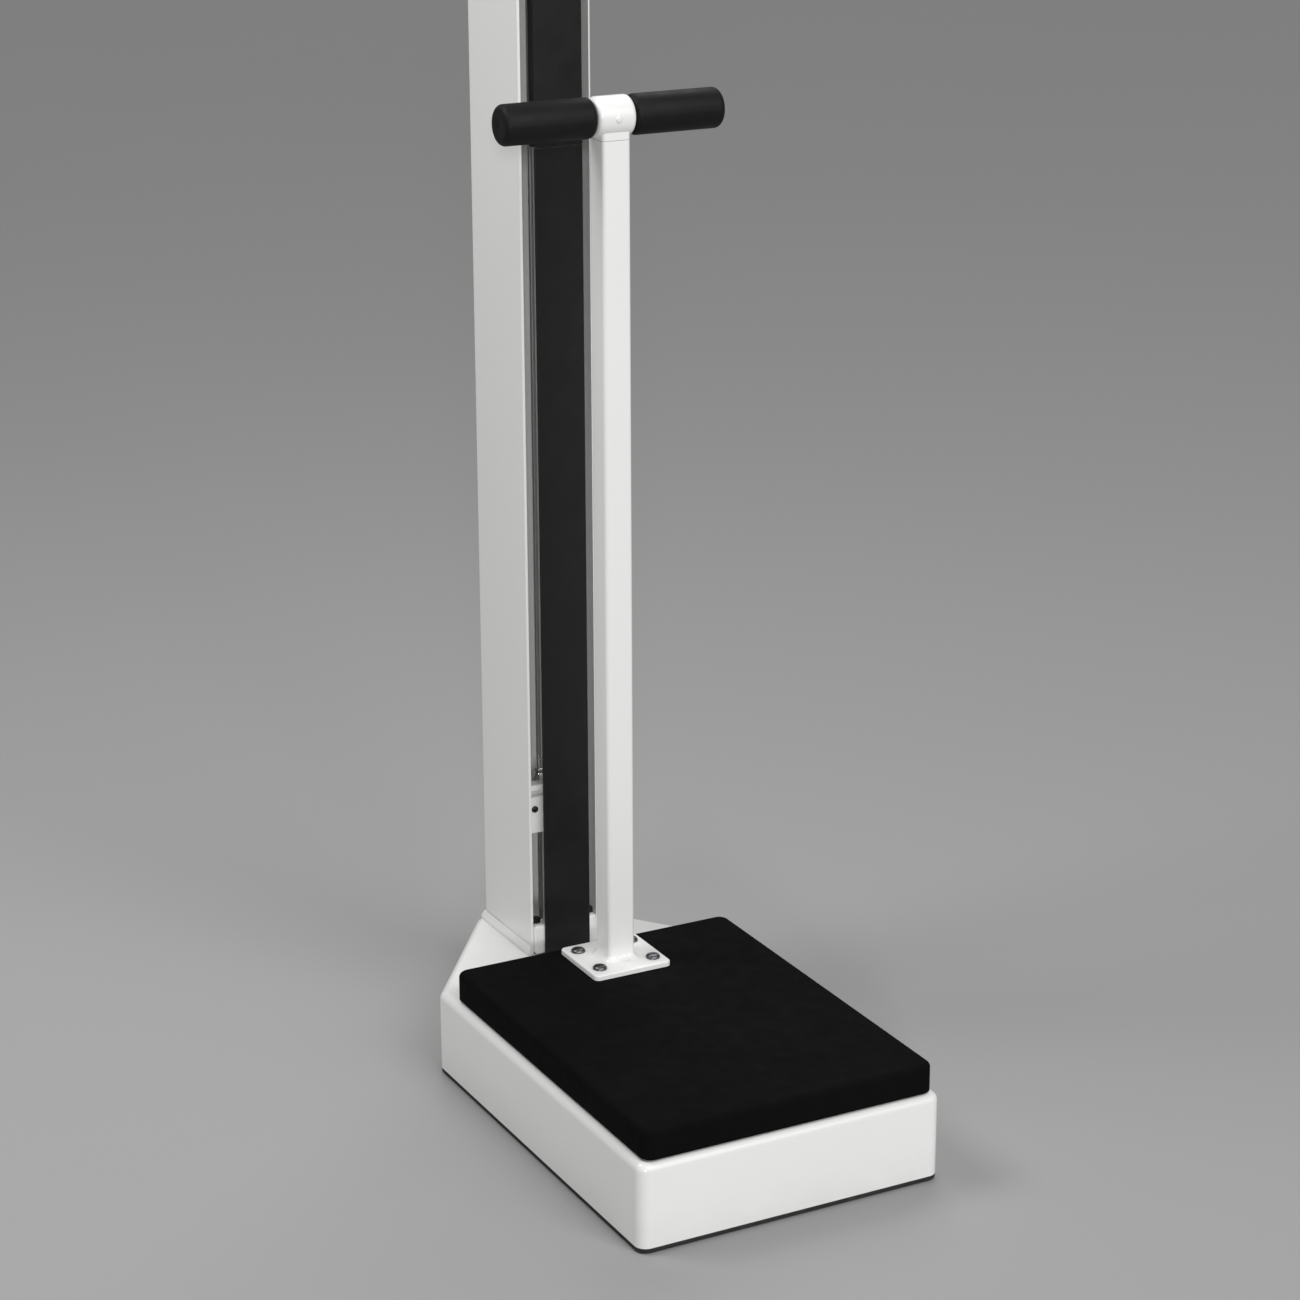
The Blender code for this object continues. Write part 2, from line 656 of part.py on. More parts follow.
def make_lever(body, fulcrum_y, load_y, nose_y, nose_half, axis_z, height, tie_y=None):
    """An A-shaped lever: two arms that meet in a nose, on a fulcrum and a load pivot."""
    z_range = (axis_z - height / 2, axis_z + height / 2)
    away = 1 if nose_y > fulcrum_y else -1
    heel = fulcrum_y - away * 10 * MM
    crotch = nose_y - away * LEVER_BAR
    outer = LEVER_HALF_WIDTH
    inner = outer - LEVER_BAR
    tip = nose_half + LEVER_BAR / 2
    outline = [
        (outer, heel), (tip, nose_y), (-tip, nose_y), (-outer, heel),
        (-inner, heel), (-nose_half, crotch), (nose_half, crotch), (inner, heel),
    ]
    lever = add_piece(body, prism(outline, "Z", z_range), body, "cast_iron")
    if tie_y is not None:
        share = (tie_y - heel) / (nose_y - heel)
        half = outer + (tip - outer) * share - LEVER_BAR / 2
        join(lever, body, box((-half, half), (tie_y - 4 * MM, tie_y + 4 * MM), z_range))
    through = (-outer - 14 * MM, outer + 14 * MM)
    cut(lever, body, *[rod("X", (y, axis_z), PIVOT_RADIUS + GAP, through, 12)
                       for y in (fulcrum_y, load_y)])
    for kind, y in (("fulcrum", fulcrum_y), ("load", load_y)):
        pivot = rod("X", (y, axis_z), PIVOT_RADIUS, (-BEARING_X - 8 * MM, BEARING_X + 8 * MM), 12)
        add_piece(f"{body}_{kind}_pivot", pivot, body, "bright_steel", smooth=True)


def link(axis, centre, half_width, low, high, wall, span):
    """A closed rectangular link; its plane is square to the axis."""
    def ring(inset, along):
        half = half_width - inset
        corners = [(-half, low + inset), (half, low + inset), (half, high - inset), (-half, high - inset)]
        if axis == "X":
            return [(along, centre + a, b) for a, b in corners]
        return [(centre + a, along, b) for a, b in corners]

    first, last = span
    return loft([ring(0, first), ring(0, last), ring(wall, last), ring(wall, first)], closed=True)


def make_levers():
    make_lever("long_lever", LONG_FULCRUM_Y, LONG_LOAD_Y, ROD_Y + 10 * MM, 0.5 * MM,
               LONG_LEVER_Z, 16 * MM, tie_y=PLATFORM_Y)
    make_lever("short_lever", SHORT_FULCRUM_Y, SHORT_LOAD_Y, PLATFORM_Y - 4 * MM, 12 * MM,
               SHORT_LEVER_Z, 14 * MM)
    coupling = link("X", PLATFORM_Y, 14 * MM, SHORT_LEVER_Z - 12 * MM, LONG_LEVER_Z + 13 * MM, 4 * MM,
                    (-4 * MM, 4 * MM))
    add_piece("lever_link", coupling, "long_lever", "bright_steel")


# --- Steelyard rod ---------------------------------------------------------------------

def make_steelyard():
    stirrup = link("Y", 0, 14 * MM, LONG_LEVER_Z - 13 * MM, LONG_LEVER_Z + 20 * MM, 4.5 * MM,
                   (ROD_Y - 4 * MM, ROD_Y + 4 * MM))
    add_piece("nose_stirrup", stirrup, "steelyard", "bright_steel")

    loop_low = BEAM_PIVOT_Z - 16 * MM
    low = LONG_LEVER_Z + 20 * MM + GAP
    add_piece("steelyard_rod", rod("Z", (0, ROD_Y), ROD_RADIUS, (low, loop_low - GAP), 10),
              "steelyard", "bright_steel", smooth=True)

    middle = 213 * MM
    half = 19 * MM
    bore = ROD_RADIUS + GAP
    profile = [
        (middle - half, bore), (middle - half, 3.6 * MM), (middle - half + 8 * MM, 6 * MM),
        (middle + half - 8 * MM, 6 * MM), (middle + half, 3.6 * MM), (middle + half, bore),
    ]
    add_piece("rod_turnbuckle", turned(profile, "Z", (0, ROD_Y), 6, closed=True), "steelyard",
              "bright_steel")


def make_beam_loop():
    """The stirrup on top of the rod: a yoke whose cheeks hold the beam's load pivot."""
    inner = BEAM_THICKNESS / 2 + 2.5 * MM
    outer = inner + 3 * MM
    low = BEAM_PIVOT_Z - 16 * MM
    top = BEAM_PIVOT_Z + 7 * MM
    floor = low + 4 * MM
    outline = [
        (ROD_Y - outer, low), (ROD_Y + outer, low), (ROD_Y + outer, top), (ROD_Y + inner, top),
        (ROD_Y + inner, floor), (ROD_Y - inner, floor), (ROD_Y - inner, top), (ROD_Y - outer, top),
    ]
    yoke = add_piece("beam_yoke", prism(outline, "X", (-7 * MM, 7 * MM)), "steelyard", "bright_steel")
    bore = rod("Y", (0, BEAM_PIVOT_Z), 3 * MM + GAP, (ROD_Y - 20 * MM, ROD_Y + 20 * MM), 12)
    cut(yoke, "steelyard", bore)


# --- Beam head -------------------------------------------------------------------------

def make_head():
    cap_low = COLUMN_TOP + GAP
    cap_top = SHELF_LOW - GAP
    cap_corners = [
        (-COLUMN_WIDTH / 2 - 3 * MM, STRIP_FRONT), (COLUMN_WIDTH / 2 + 3 * MM, STRIP_FRONT),
        (COLUMN_WIDTH / 2 + 3 * MM, COLUMN_BACK + 3 * MM), (-COLUMN_WIDTH / 2 - 3 * MM, COLUMN_BACK + 3 * MM),
    ]

    def cap_ring(inset, z):
        return at_height(rounded_outline(cap_corners, inset, 5 * MM - inset, 3), z)

    cap = loft([cap_ring(0, cap_low), cap_ring(0, cap_top - 2 * MM), cap_ring(2 * MM, cap_top)])
    plate = add_piece("column_cap", cap, "base", "white_enamel")
    cut(plate, "base", rod("Z", (0, ROD_Y), 7 * MM, (cap_low - MM, cap_top + MM), 12))

    shelf_half = 17 * MM
    shelf_corners = [
        (-130 * MM, ROD_Y - shelf_half), (OVERALL_WIDTH / 2, ROD_Y - shelf_half),
        (OVERALL_WIDTH / 2, ROD_Y + shelf_half), (-130 * MM, ROD_Y + shelf_half),
    ]

    def shelf_ring(inset, z):
        return at_height(rounded_outline(shelf_corners, inset, 8 * MM - inset, 3), z)

    shelf = loft([shelf_ring(0, SHELF_LOW), shelf_ring(0, SHELF_TOP - 1.5 * MM),
                  shelf_ring(1.5 * MM, SHELF_TOP)])
    bar = add_piece("beam_shelf", shelf, "base", "white_enamel")
    cut(bar, "base", rod("Z", (0, ROD_Y), 7 * MM, (SHELF_LOW - MM, SHELF_TOP + MM), 12))

    make_fulcrum_stand()
    make_trig_loop()


def make_fulcrum_stand():
    """A fork on the shelf whose cheeks carry the beam's fulcrum pivot in open notches."""
    inner = BEAM_THICKNESS / 2 + 3.5 * MM
    outer = inner + 5 * MM
    low = SHELF_TOP + GAP
    floor = low + 7 * MM
    top = BEAM_PIVOT_Z + 5 * MM
    outline = [
        (ROD_Y - outer, low), (ROD_Y + outer, low), (ROD_Y + outer, top), (ROD_Y + inner, top),
        (ROD_Y + inner, floor), (ROD_Y - inner, floor), (ROD_Y - inner, top), (ROD_Y - outer, top),
    ]
    x = BEAM_LOAD_ARM
    fork = add_piece("fulcrum_stand", prism(outline, "X", (x - 11 * MM, x + 11 * MM)), "base", "white_enamel")
    reach = 3 * MM + GAP
    z = BEAM_PIVOT_Z
    notch = [
        (x - 7 * MM, z + 7 * MM), (x - reach, z), (x - reach * 0.7, z - reach),
        (x + reach * 0.7, z - reach), (x + reach, z), (x + 7 * MM, z + 7 * MM),
    ]
    cut(fork, "base", prism(notch, "Y", (ROD_Y - 20 * MM, ROD_Y + 20 * MM)))


def make_trig_loop():
    """The guide at the shelf's end that stops the pointer's swing."""
    swing = 18 * MM
    z = BALANCE_Z
    wall = 4.5 * MM
    x_range = (240 * MM, 246 * MM)
    loop = link("X", ROD_Y, 11 * MM, z - swing - wall, z + swing + wall, wall, x_range)
    guide = add_piece("trig_loop", loop, "base", "white_enamel")
    neck = box(x_range, (ROD_Y - 6 * MM, ROD_Y + 6 * MM), (SHELF_TOP + 4 * MM, z - swing - wall / 2))
    foot = box((x_range[0] - 8 * MM, x_range[1] + 8 * MM), (ROD_Y - 12 * MM, ROD_Y + 12 * MM),
               (SHELF_TOP + GAP, SHELF_TOP + 5 * MM))
    join(guide, "base", neck, foot)


def beam_outline():
    """The main bar's notched top, the pointer, the keel and the far end, seen from the front."""
    low, high = MAIN_BAR
    half = BEAM_HALF_LENGTH
    keel_low = BEAM_PIVOT_Z - 8 * MM
    z = BALANCE_Z
    outline = [
        (-half, low), (-32 * MM, low), (-16 * MM, keel_low), (BEAM_LOAD_ARM + 12 * MM, keel_low),
        (BEAM_LOAD_ARM + 34 * MM, low), (half, low), (half, z - 3 * MM), (half + 47 * MM, z - 1.5 * MM),
        (half + 47 * MM, z + 1.5 * MM), (half, z + 3 * MM), (half, high),
    ]
    pitch = -2 * MAIN_POISE_ZERO / (NOTCH_COUNT - 1)
    depth = 2.5 * MM
    for number in reversed(range(NOTCH_COUNT)):
        x = MAIN_POISE_ZERO + pitch * number
        outline += [(x + depth, high), (x, high - depth), (x - depth, high)]
    outline.append((-half, high))
    return outline


def make_beam():
    half = BEAM_HALF_LENGTH
    y_range = (ROD_Y - BEAM_THICKNESS / 2, ROD_Y + BEAM_THICKNESS / 2)
    beam = add_piece("beam", prism(beam_outline(), "Y", y_range), "beam", "die_cast")
    top = SMALL_BAR[1]
    overlap = 2 * MM
    bridge = [
        (-half, MAIN_BAR[1] - overlap), (BEAM_POST - half, MAIN_BAR[1] - overlap),
        (BEAM_POST - half, SMALL_BAR[0]), (half - BEAM_POST, SMALL_BAR[0]),
        (half - BEAM_POST, MAIN_BAR[1] - overlap), (half, MAIN_BAR[1] - overlap),
        (half, top - 4 * MM), (half - 4 * MM, top), (4 * MM - half, top), (-half, top - 4 * MM),
    ]
    frame_half = (BALANCE_FRAME[1] - BALANCE_FRAME[0]) / 2
    end_frame = link("Y", BALANCE_X, frame_half, BALANCE_Z - BALANCE_FRAME_HEIGHT / 2,
                     BALANCE_Z + BALANCE_FRAME_HEIGHT / 2, BALANCE_FRAME_WALL, y_range)
    join(beam, "beam", prism(bridge, "Y", y_range), end_frame)
    pivots = {
        "beam_fulcrum_pivot": (BEAM_LOAD_ARM, BEAM_THICKNESS / 2 + 8 * MM),
        "beam_load_pivot": (0, BEAM_THICKNESS / 2 + 5.5 * MM),
    }
    bores = []
    for name, (x, reach) in pivots.items():
        bores.append(rod("Y", (x, BEAM_PIVOT_Z), 3 * MM + GAP, (ROD_Y - 9 * MM, ROD_Y + 9 * MM), 12))
        pin = rod("Y", (x, BEAM_PIVOT_Z), 3 * MM, (ROD_Y - reach, ROD_Y + reach), 12)
        add_piece(name, pin, "beam", "bright_steel", smooth=True)
    bores.append(rod("X", (ROD_Y, BALANCE_Z), BALANCE_SCREW_RADIUS + GAP,
                     (BALANCE_FRAME[0] - 4 * MM, BALANCE_FRAME[1] + 8 * MM), 12))
    cut(beam, "beam", *bores)


def make_balance():
    """The screw that turns in the beam's end frame, and the weight that it moves."""
    head = -OVERALL_WIDTH / 2
    neck = BALANCE_FRAME[0] - GAP
    tip = BALANCE_FRAME[1] + 6 * MM
    radius = BALANCE_SCREW_RADIUS
    profile = [
        (head, 6 * MM), (head + 1.5 * MM, 8 * MM), (neck - 1 * MM, 8 * MM), (neck, 7 * MM),
        (neck, radius), (tip, radius),
    ]
    add_piece("balance_screw", turned(profile, "X", (ROD_Y, BALANCE_Z), 16), "balance_screw",
              "bright_steel", smooth=True)

    height = BALANCE_FRAME_HEIGHT - 2 * BALANCE_FRAME_WALL - 2 * GAP
    half = BALANCE_WEIGHT_LENGTH / 2
    block = box((BALANCE_X - half, BALANCE_X + half), (ROD_Y - 9 * MM, ROD_Y + 9 * MM),
                (BALANCE_Z - height / 2, BALANCE_Z + height / 2))
    weight = add_piece("balance_weight", block, "balance_weight", "brass")
    cut(weight, "balance_weight", rod("X", (ROD_Y, BALANCE_Z), radius + GAP,
                                      (BALANCE_X - 2 * half, BALANCE_X + 2 * half), 12))


def saddle_outline(slot_half, half, low, slot_top, top, edge):
    """A poise in cross-section: a block with a slot that is open below."""
    return [
        (ROD_Y - half, low), (ROD_Y - slot_half, low), (ROD_Y - slot_half, slot_top),
        (ROD_Y + slot_half, slot_top), (ROD_Y + slot_half, low), (ROD_Y + half, low),
        (ROD_Y + half, top - edge), (ROD_Y + half - edge, top), (ROD_Y - half + edge, top),
        (ROD_Y - half, top - edge),
    ]


def make_poises():
    slot = BEAM_THICKNESS / 2 + 0.6 * MM
    x = MAIN_POISE_ZERO
    outline = saddle_outline(slot, 20 * MM, 1425 * MM, MAIN_BAR[1] + GAP, 1454 * MM, 4 * MM)
    add_piece("main_poise", prism(outline, "X", (x - 21 * MM, x + 21 * MM)), "main_poise", "black_enamel")
    knob_y = ROD_Y - 20 * MM - GAP
    knob = prism(circle(7 * MM, 16, (x, 1438 * MM)), "Y", (knob_y - 8 * MM, knob_y))
    add_piece("poise_knob", knob, "main_poise", "bright_steel", smooth=True)

    x = SMALL_POISE_ZERO
    outline = saddle_outline(slot, 9 * MM, 1459.5 * MM, SMALL_BAR[1] + GAP, OVERALL_HEIGHT, 2 * MM)
    add_piece("small_poise", prism(outline, "X", (x - 8 * MM, x + 8 * MM)), "small_poise", "black_enamel")


clear_scene()
EMPTIES = make_bodies()
make_base_cover()
make_cross_rail("front_cross_rail", LONG_FULCRUM_Y, LONG_LEVER_Z)
make_cross_rail("rear_cross_rail", SHORT_FULCRUM_Y, SHORT_LEVER_Z)
make_column_bracket()
make_feet()
make_column()
make_front_strip()
make_strip_ties()
make_platform()
make_platform_bearings()
make_hand_post()
make_handle()
make_levers()
make_steelyard()
make_beam_loop()
make_head()
make_beam()
make_balance()
make_poises()
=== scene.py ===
"""Looks of the physician beam scale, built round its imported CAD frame.

Every length is in metres, in the frame's own axes: +Z is up, +X is to the right of a person
who faces the column, +Y points from the platform to the column. Places and sizes are read
from the frame's nodes.
"""

import json
from math import atan2, cos, hypot, pi, radians, sin, tan

import bmesh
import bpy
from mathutils import Matrix, Quaternion, Vector


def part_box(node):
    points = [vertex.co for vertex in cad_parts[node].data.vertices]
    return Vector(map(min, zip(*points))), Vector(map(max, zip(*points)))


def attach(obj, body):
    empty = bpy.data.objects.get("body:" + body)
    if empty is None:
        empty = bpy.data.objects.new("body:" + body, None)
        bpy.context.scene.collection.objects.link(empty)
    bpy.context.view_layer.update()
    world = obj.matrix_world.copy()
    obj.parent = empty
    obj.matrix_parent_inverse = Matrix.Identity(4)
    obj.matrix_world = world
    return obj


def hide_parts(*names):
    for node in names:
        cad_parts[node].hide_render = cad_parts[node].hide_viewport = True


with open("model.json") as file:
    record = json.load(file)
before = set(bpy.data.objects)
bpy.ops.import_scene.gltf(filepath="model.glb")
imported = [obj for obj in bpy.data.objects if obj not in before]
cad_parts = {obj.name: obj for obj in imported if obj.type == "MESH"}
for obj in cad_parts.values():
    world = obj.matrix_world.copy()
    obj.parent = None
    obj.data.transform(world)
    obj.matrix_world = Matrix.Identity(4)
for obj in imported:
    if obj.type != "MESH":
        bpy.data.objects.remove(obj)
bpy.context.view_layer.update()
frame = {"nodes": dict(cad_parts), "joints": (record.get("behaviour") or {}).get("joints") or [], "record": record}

MM = 0.001
GAP = 0.3 * MM
SHARP_ANGLE = 35
POST_CORNER = 3.4 * MM
BAR_BORE = 10.3 * MM
FLANGE_BOLT_HOLE = 3 * MM
SMALL_PITCH = 0.8 * MM


# --- Shapes ----------------------------------------------------------------------------

AXIS_ORDER = {
    "X": lambda a, b, along: (along, a, b),
    "Y": lambda a, b, along: (a, along, b),
    "Z": lambda a, b, along: (a, b, along),
}


def loft(rings, closed=False):
    """Skins a list of equally long point rings; the ends are capped unless it closes."""
    builder = bmesh.new()
    rows = [[builder.verts.new(point) for point in ring] for ring in rings]
    count = len(rows[0])
    pairs = list(zip(rows, rows[1:]))
    if closed:
        pairs.append((rows[-1], rows[0]))
    for low, high in pairs:
        for i in range(count):
            j = (i + 1) % count
            builder.faces.new((low[i], low[j], high[j], high[i]))
    if not closed:
        builder.faces.new(list(reversed(rows[0])))
        builder.faces.new(rows[-1])
    return builder


def prism(points, axis, span):
    """Extrudes an outline along X (points are y, z), Y (points are x, z) or Z."""
    place = AXIS_ORDER[axis]
    return loft([[place(a, b, s) for a, b in points] for s in span])


def box(low, high):
    return prism(rectangle(low, high), "Z", (low[2], high[2]))


def circle(radius, count, centre=(0, 0), turn=0.0):
    return [
        (centre[0] + radius * cos(turn + 2 * pi * i / count),
         centre[1] + radius * sin(turn + 2 * pi * i / count))
        for i in range(count)
    ]


def turned(profile, axis, centre, count=48, closed=False):
    """Turns a profile of (position along the axis, radius) points round the axis."""
    rings = []
    for along, radius in profile:
        rings.append([AXIS_ORDER[axis](a, b, along) for a, b in circle(radius, count, centre)])
    return loft(rings, closed)


def ring_at(axis, centre, along, reaches):
    """Points round an axis, each at its own distance from it."""
    place = AXIS_ORDER[axis]
    count = len(reaches)
    return [
        place(centre[0] + reach * cos(2 * pi * i / count),
              centre[1] + reach * sin(2 * pi * i / count), along)
        for i, reach in enumerate(reaches)
    ]


def arc(centre, radius, first, last, steps):
    """Points on an arc, angles in degrees."""
    return [
        (centre[0] + radius * cos(radians(first + (last - first) * k / steps)),
         centre[1] + radius * sin(radians(first + (last - first) * k / steps)))
        for k in range(steps + 1)
    ]


def rounded_outline(corners, inset=0.0, radius=0.0, steps=8):
    """An anticlockwise convex outline moved inwards, with its corners rounded."""
    count = len(corners)
    lines = []
    for i in range(count):
        start = Vector(corners[i])
        along = (Vector(corners[(i + 1) % count]) - start).normalized()
        inward = Vector((-along.y, along.x))
        lines.append((start + inward * inset, along))
    outline = []
    for i in range(count):
        (p, d), (q, e) = lines[i - 1], lines[i]
        cross = d.x * e.y - d.y * e.x
        reach = ((q.x - p.x) * e.y - (q.y - p.y) * e.x) / cross
        corner = p + d * reach
        swing = atan2(cross, d.dot(e))
        run = radius * tan(swing / 2)
        centre = corner - d * run + Vector((-d.y, d.x)) * radius
        first = atan2(-d.x, d.y)
        for k in range(steps + 1):
            angle = first + swing * k / steps
            outline.append((centre.x + radius * cos(angle), centre.y + radius * sin(angle)))
    return outline


def rectangle(low, high):
    return [(low[0], low[1]), (high[0], low[1]), (high[0], high[1]), (low[0], high[1])]


def at_height(points, z):
    return [(x, y, z) for x, y in points]


def pan(corners, low, top, wall, plate, corner_radius, edge_round, steps=8):
    """A pan that is open below: rings down its inside, then up its outside and over."""
    def ring(inset, z):
        corner = max(corner_radius - inset, 0.5 * MM)
        return at_height(rounded_outline(corners, inset, corner, steps), z)

    inside = max(edge_round - wall, 0.0)
    turns = [pi / 2 * k / steps for k in range(steps + 1)]
    rings = [ring(wall + inside * (1 - cos(turn)), top - plate - inside * (1 - sin(turn)))
             for turn in reversed(turns if inside else turns[:1])]
    rings += [ring(wall, low), ring(0, low)]
    rings += [ring(edge_round * (1 - cos(turn)), top - edge_round * (1 - sin(turn)))
              for turn in turns]
    return loft(rings)


# --- Pieces ----------------------------------------------------------------------------

def make_object(name, builder, smooth_angle=SHARP_ANGLE):
    bmesh.ops.recalc_face_normals(builder, faces=builder.faces)
    mesh = bpy.data.meshes.new(name)
    builder.to_mesh(mesh)
    builder.free()
    mesh.shade_smooth()
    mesh.set_sharp_from_angle(angle=radians(smooth_angle))
    piece = bpy.data.objects.new(name, mesh)
    bpy.context.scene.collection.objects.link(piece)
    return piece


def bake_modifiers(piece):
    """Turns a piece and its modifiers into one plain mesh."""
    bpy.context.view_layer.update()
    depsgraph = bpy.context.evaluated_depsgraph_get()
    mesh = bpy.data.meshes.new_from_object(piece.evaluated_get(depsgraph))
    piece.modifiers.clear()
    piece.data = mesh
    return piece


def carve(piece, *builders, operation="DIFFERENCE"):
    """Cuts closed shapes out of a piece, or unites them with it, and keeps a plain mesh."""
    tools = []
    for builder in builders:
        tool = make_object("tool", builder)
        boolean = piece.modifiers.new("carve", "BOOLEAN")
        boolean.operation = operation
        boolean.solver = "EXACT"
        boolean.object = tool
        tools.append(tool)
    bake_modifiers(piece)
    for tool in tools:
        bpy.data.objects.remove(tool, do_unlink=True)
    piece.data.shade_smooth()
    piece.data.set_sharp_from_angle(angle=radians(SHARP_ANGLE))
    return piece


def soften(piece, width, segments=3, angle=SHARP_ANGLE):
    """Rounds the sharp edges of a piece."""
    bevel = piece.modifiers.new("soft_edges", "BEVEL")
    bevel.width = width
    bevel.segments = segments
    bevel.limit_method = "ANGLE"
    bevel.angle_limit = radians(angle)
    bevel.harden_normals = True
    piece.data.shade_smooth()
    return piece


def finish_piece(piece, material, slot, body, *replaced):
    piece.data.materials.clear()
    piece.data.materials.append(material)
    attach(piece, body)
    if replaced:
        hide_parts(*replaced)
    return piece


def clean_copy(node):
    """A CAD node's shape with its split vertices merged and its flat areas joined."""
    builder = bmesh.new()
    builder.from_mesh(frame["nodes"][node].data)
    bmesh.ops.remove_doubles(builder, verts=builder.verts, dist=0.002 * MM)
    bmesh.ops.dissolve_limit(
        builder, angle_limit=radians(0.5), verts=builder.verts, edges=builder.edges)
    return make_object(node + "_skin", builder)


def body_of(node):
    for body, members in frame["record"]["behaviour"]["bodies"].items():
        if node in members:
            return body
    return None


def refine(node, material, slot, width=0.6 * MM, segments=3):
    """Replaces a CAD node whose shape is right by the same shape with rounded edges."""
    piece = soften(clean_copy(node), width, segments)
    return finish_piece(piece, material, slot, body_of(node), node)


def middle(node):
    low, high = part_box(node)
    return (low + high) / 2


def join_builders(builders):
    """One bmesh out of several."""
    whole = bmesh.new()
    for builder in builders:
        mesh = bpy.data.meshes.new("part")
        builder.to_mesh(mesh)
        builder.free()
        whole.from_mesh(mesh)
        bpy.data.meshes.remove(mesh)
    return whole


# --- Materials -------------------------------------------------------------------------

class Finish:
    """A Principled material under construction; textures use the piece's own metres."""

    def __init__(self, name, colour, roughness, metallic=0.0, **sockets):
        self.material = bpy.data.materials.new(name)
        self.material.use_nodes = True
        self.tree = self.material.node_tree
        self.shader = self.tree.nodes["Principled BSDF"]
        self.colour = (*colour, 1)
        self.shader.inputs["Base Color"].default_value = self.colour
        self.shader.inputs["Roughness"].default_value = roughness
        self.shader.inputs["Metallic"].default_value = metallic
        for socket, value in sockets.items():
            self.shader.inputs[socket.replace("_", " ")].default_value = value
        self.roughness = roughness
        self.place = self.tree.nodes.new("ShaderNodeTexCoord").outputs["Object"]
        self.normal = None

    def link(self, source, target):
        self.tree.links.new(source, target)

    def stretched(self, stretch):
        mapping = self.tree.nodes.new("ShaderNodeMapping")
        mapping.inputs["Scale"].default_value = stretch
        self.link(self.place, mapping.inputs["Vector"])
        return mapping.outputs["Vector"]

    def noise(self, scale, detail=3.0, stretch=None):
        node = self.tree.nodes.new("ShaderNodeTexNoise")
        node.inputs["Scale"].default_value = scale
        node.inputs["Detail"].default_value = detail
        self.link(self.stretched(stretch) if stretch else self.place, node.inputs["Vector"])
        return node.outputs["Fac"]

    def cells(self, scale, feature="F1"):
        node = self.tree.nodes.new("ShaderNodeTexVoronoi")
        node.feature = feature
        node.inputs["Scale"].default_value = scale
        self.link(self.place, node.inputs["Vector"])
        return node.outputs["Distance"]

    def ramp(self, source, low, high, to_low=0.0, to_high=1.0):
        node = self.tree.nodes.new("ShaderNodeMapRange")
        node.inputs["From Min"].default_value = low
        node.inputs["From Max"].default_value = high
        node.inputs["To Min"].default_value = to_low
        node.inputs["To Max"].default_value = to_high
        self.link(source, node.inputs["Value"])
        return node.outputs["Result"]

    def height_mask(self, low, high):
        """1 below the height low, fading to 0 at the height high."""
        split = self.tree.nodes.new("ShaderNodeSeparateXYZ")
        self.link(self.place, split.inputs["Vector"])
        return self.ramp(split.outputs["Z"], low, high, 1.0, 0.0)

    def multiply(self, first, second):
        node = self.tree.nodes.new("ShaderNodeMath")
        node.operation = "MULTIPLY"
        self.link(first, node.inputs[0])
        self.link(second, node.inputs[1])
        return node.outputs[0]

    def tint(self, factor, colour):
        """Mixes a colour over what the base colour is so far."""
        node = self.tree.nodes.new("ShaderNodeMix")
        node.data_type = "RGBA"
        base = self.shader.inputs["Base Color"]
        if base.is_linked:
            self.link(base.links[0].from_socket, node.inputs["A"])
        else:
            node.inputs["A"].default_value = self.colour
        node.inputs["B"].default_value = (*colour, 1)
        self.link(factor, node.inputs["Factor"])
        self.link(node.outputs["Result"], base)
        return self

    def rough(self, source, spread):
        """Lets the roughness follow a texture, by spread to both sides."""
        low, high = self.roughness - spread, self.roughness + spread
        self.link(self.ramp(source, 0.3, 0.7, low, high), self.shader.inputs["Roughness"])
        return self

    def bump(self, source, distance, strength=1.0):
        node = self.tree.nodes.new("ShaderNodeBump")
        node.inputs["Strength"].default_value = strength
        node.inputs["Distance"].default_value = distance
        self.link(source, node.inputs["Height"])
        if self.normal is not None:
            self.link(self.normal, node.inputs["Normal"])
        self.normal = node.outputs["Normal"]
        self.link(self.normal, self.shader.inputs["Normal"])
        return self


def white_enamel():
    """Baked enamel on sheet steel: orange peel, a soft mottle, and darker brownish patches near the floor."""
    paint = Finish("white_enamel", (0.82, 0.82, 0.81), 0.32, Coat_Weight=0.3, Coat_Roughness=0.1)
    paint.tint(paint.ramp(paint.noise(4, 3), 0.35, 0.75, 0.0, 0.5), (0.785, 0.785, 0.77))
    # Darker brownish patches, full below 4 mm and gone by 35 mm above the floor.
    low_down = paint.height_mask(4 * MM, 35 * MM)
    patches = paint.ramp(paint.noise(40, 4), 0.35, 0.8, 0.0, 0.25)
    paint.tint(paint.multiply(low_down, patches), (0.58, 0.56, 0.53))
    paint.rough(paint.noise(14, 2), 0.03)
    paint.bump(paint.noise(260, 1.5), 0.04 * MM, 0.4)
    return paint.material


def black_enamel():
    """Fine-grained satin black enamel."""
    paint = Finish("black_enamel", (0.0085, 0.0085, 0.009), 0.40, Specular_IOR_Level=0.30)
    paint.tint(paint.ramp(paint.noise(60, 5), 0.4, 0.75, 0.0, 0.6), (0.0115, 0.0115, 0.012))
    paint.rough(paint.noise(45, 5), 0.05)
    paint.bump(paint.noise(900, 2), 0.03 * MM, 0.6)
    return paint.material


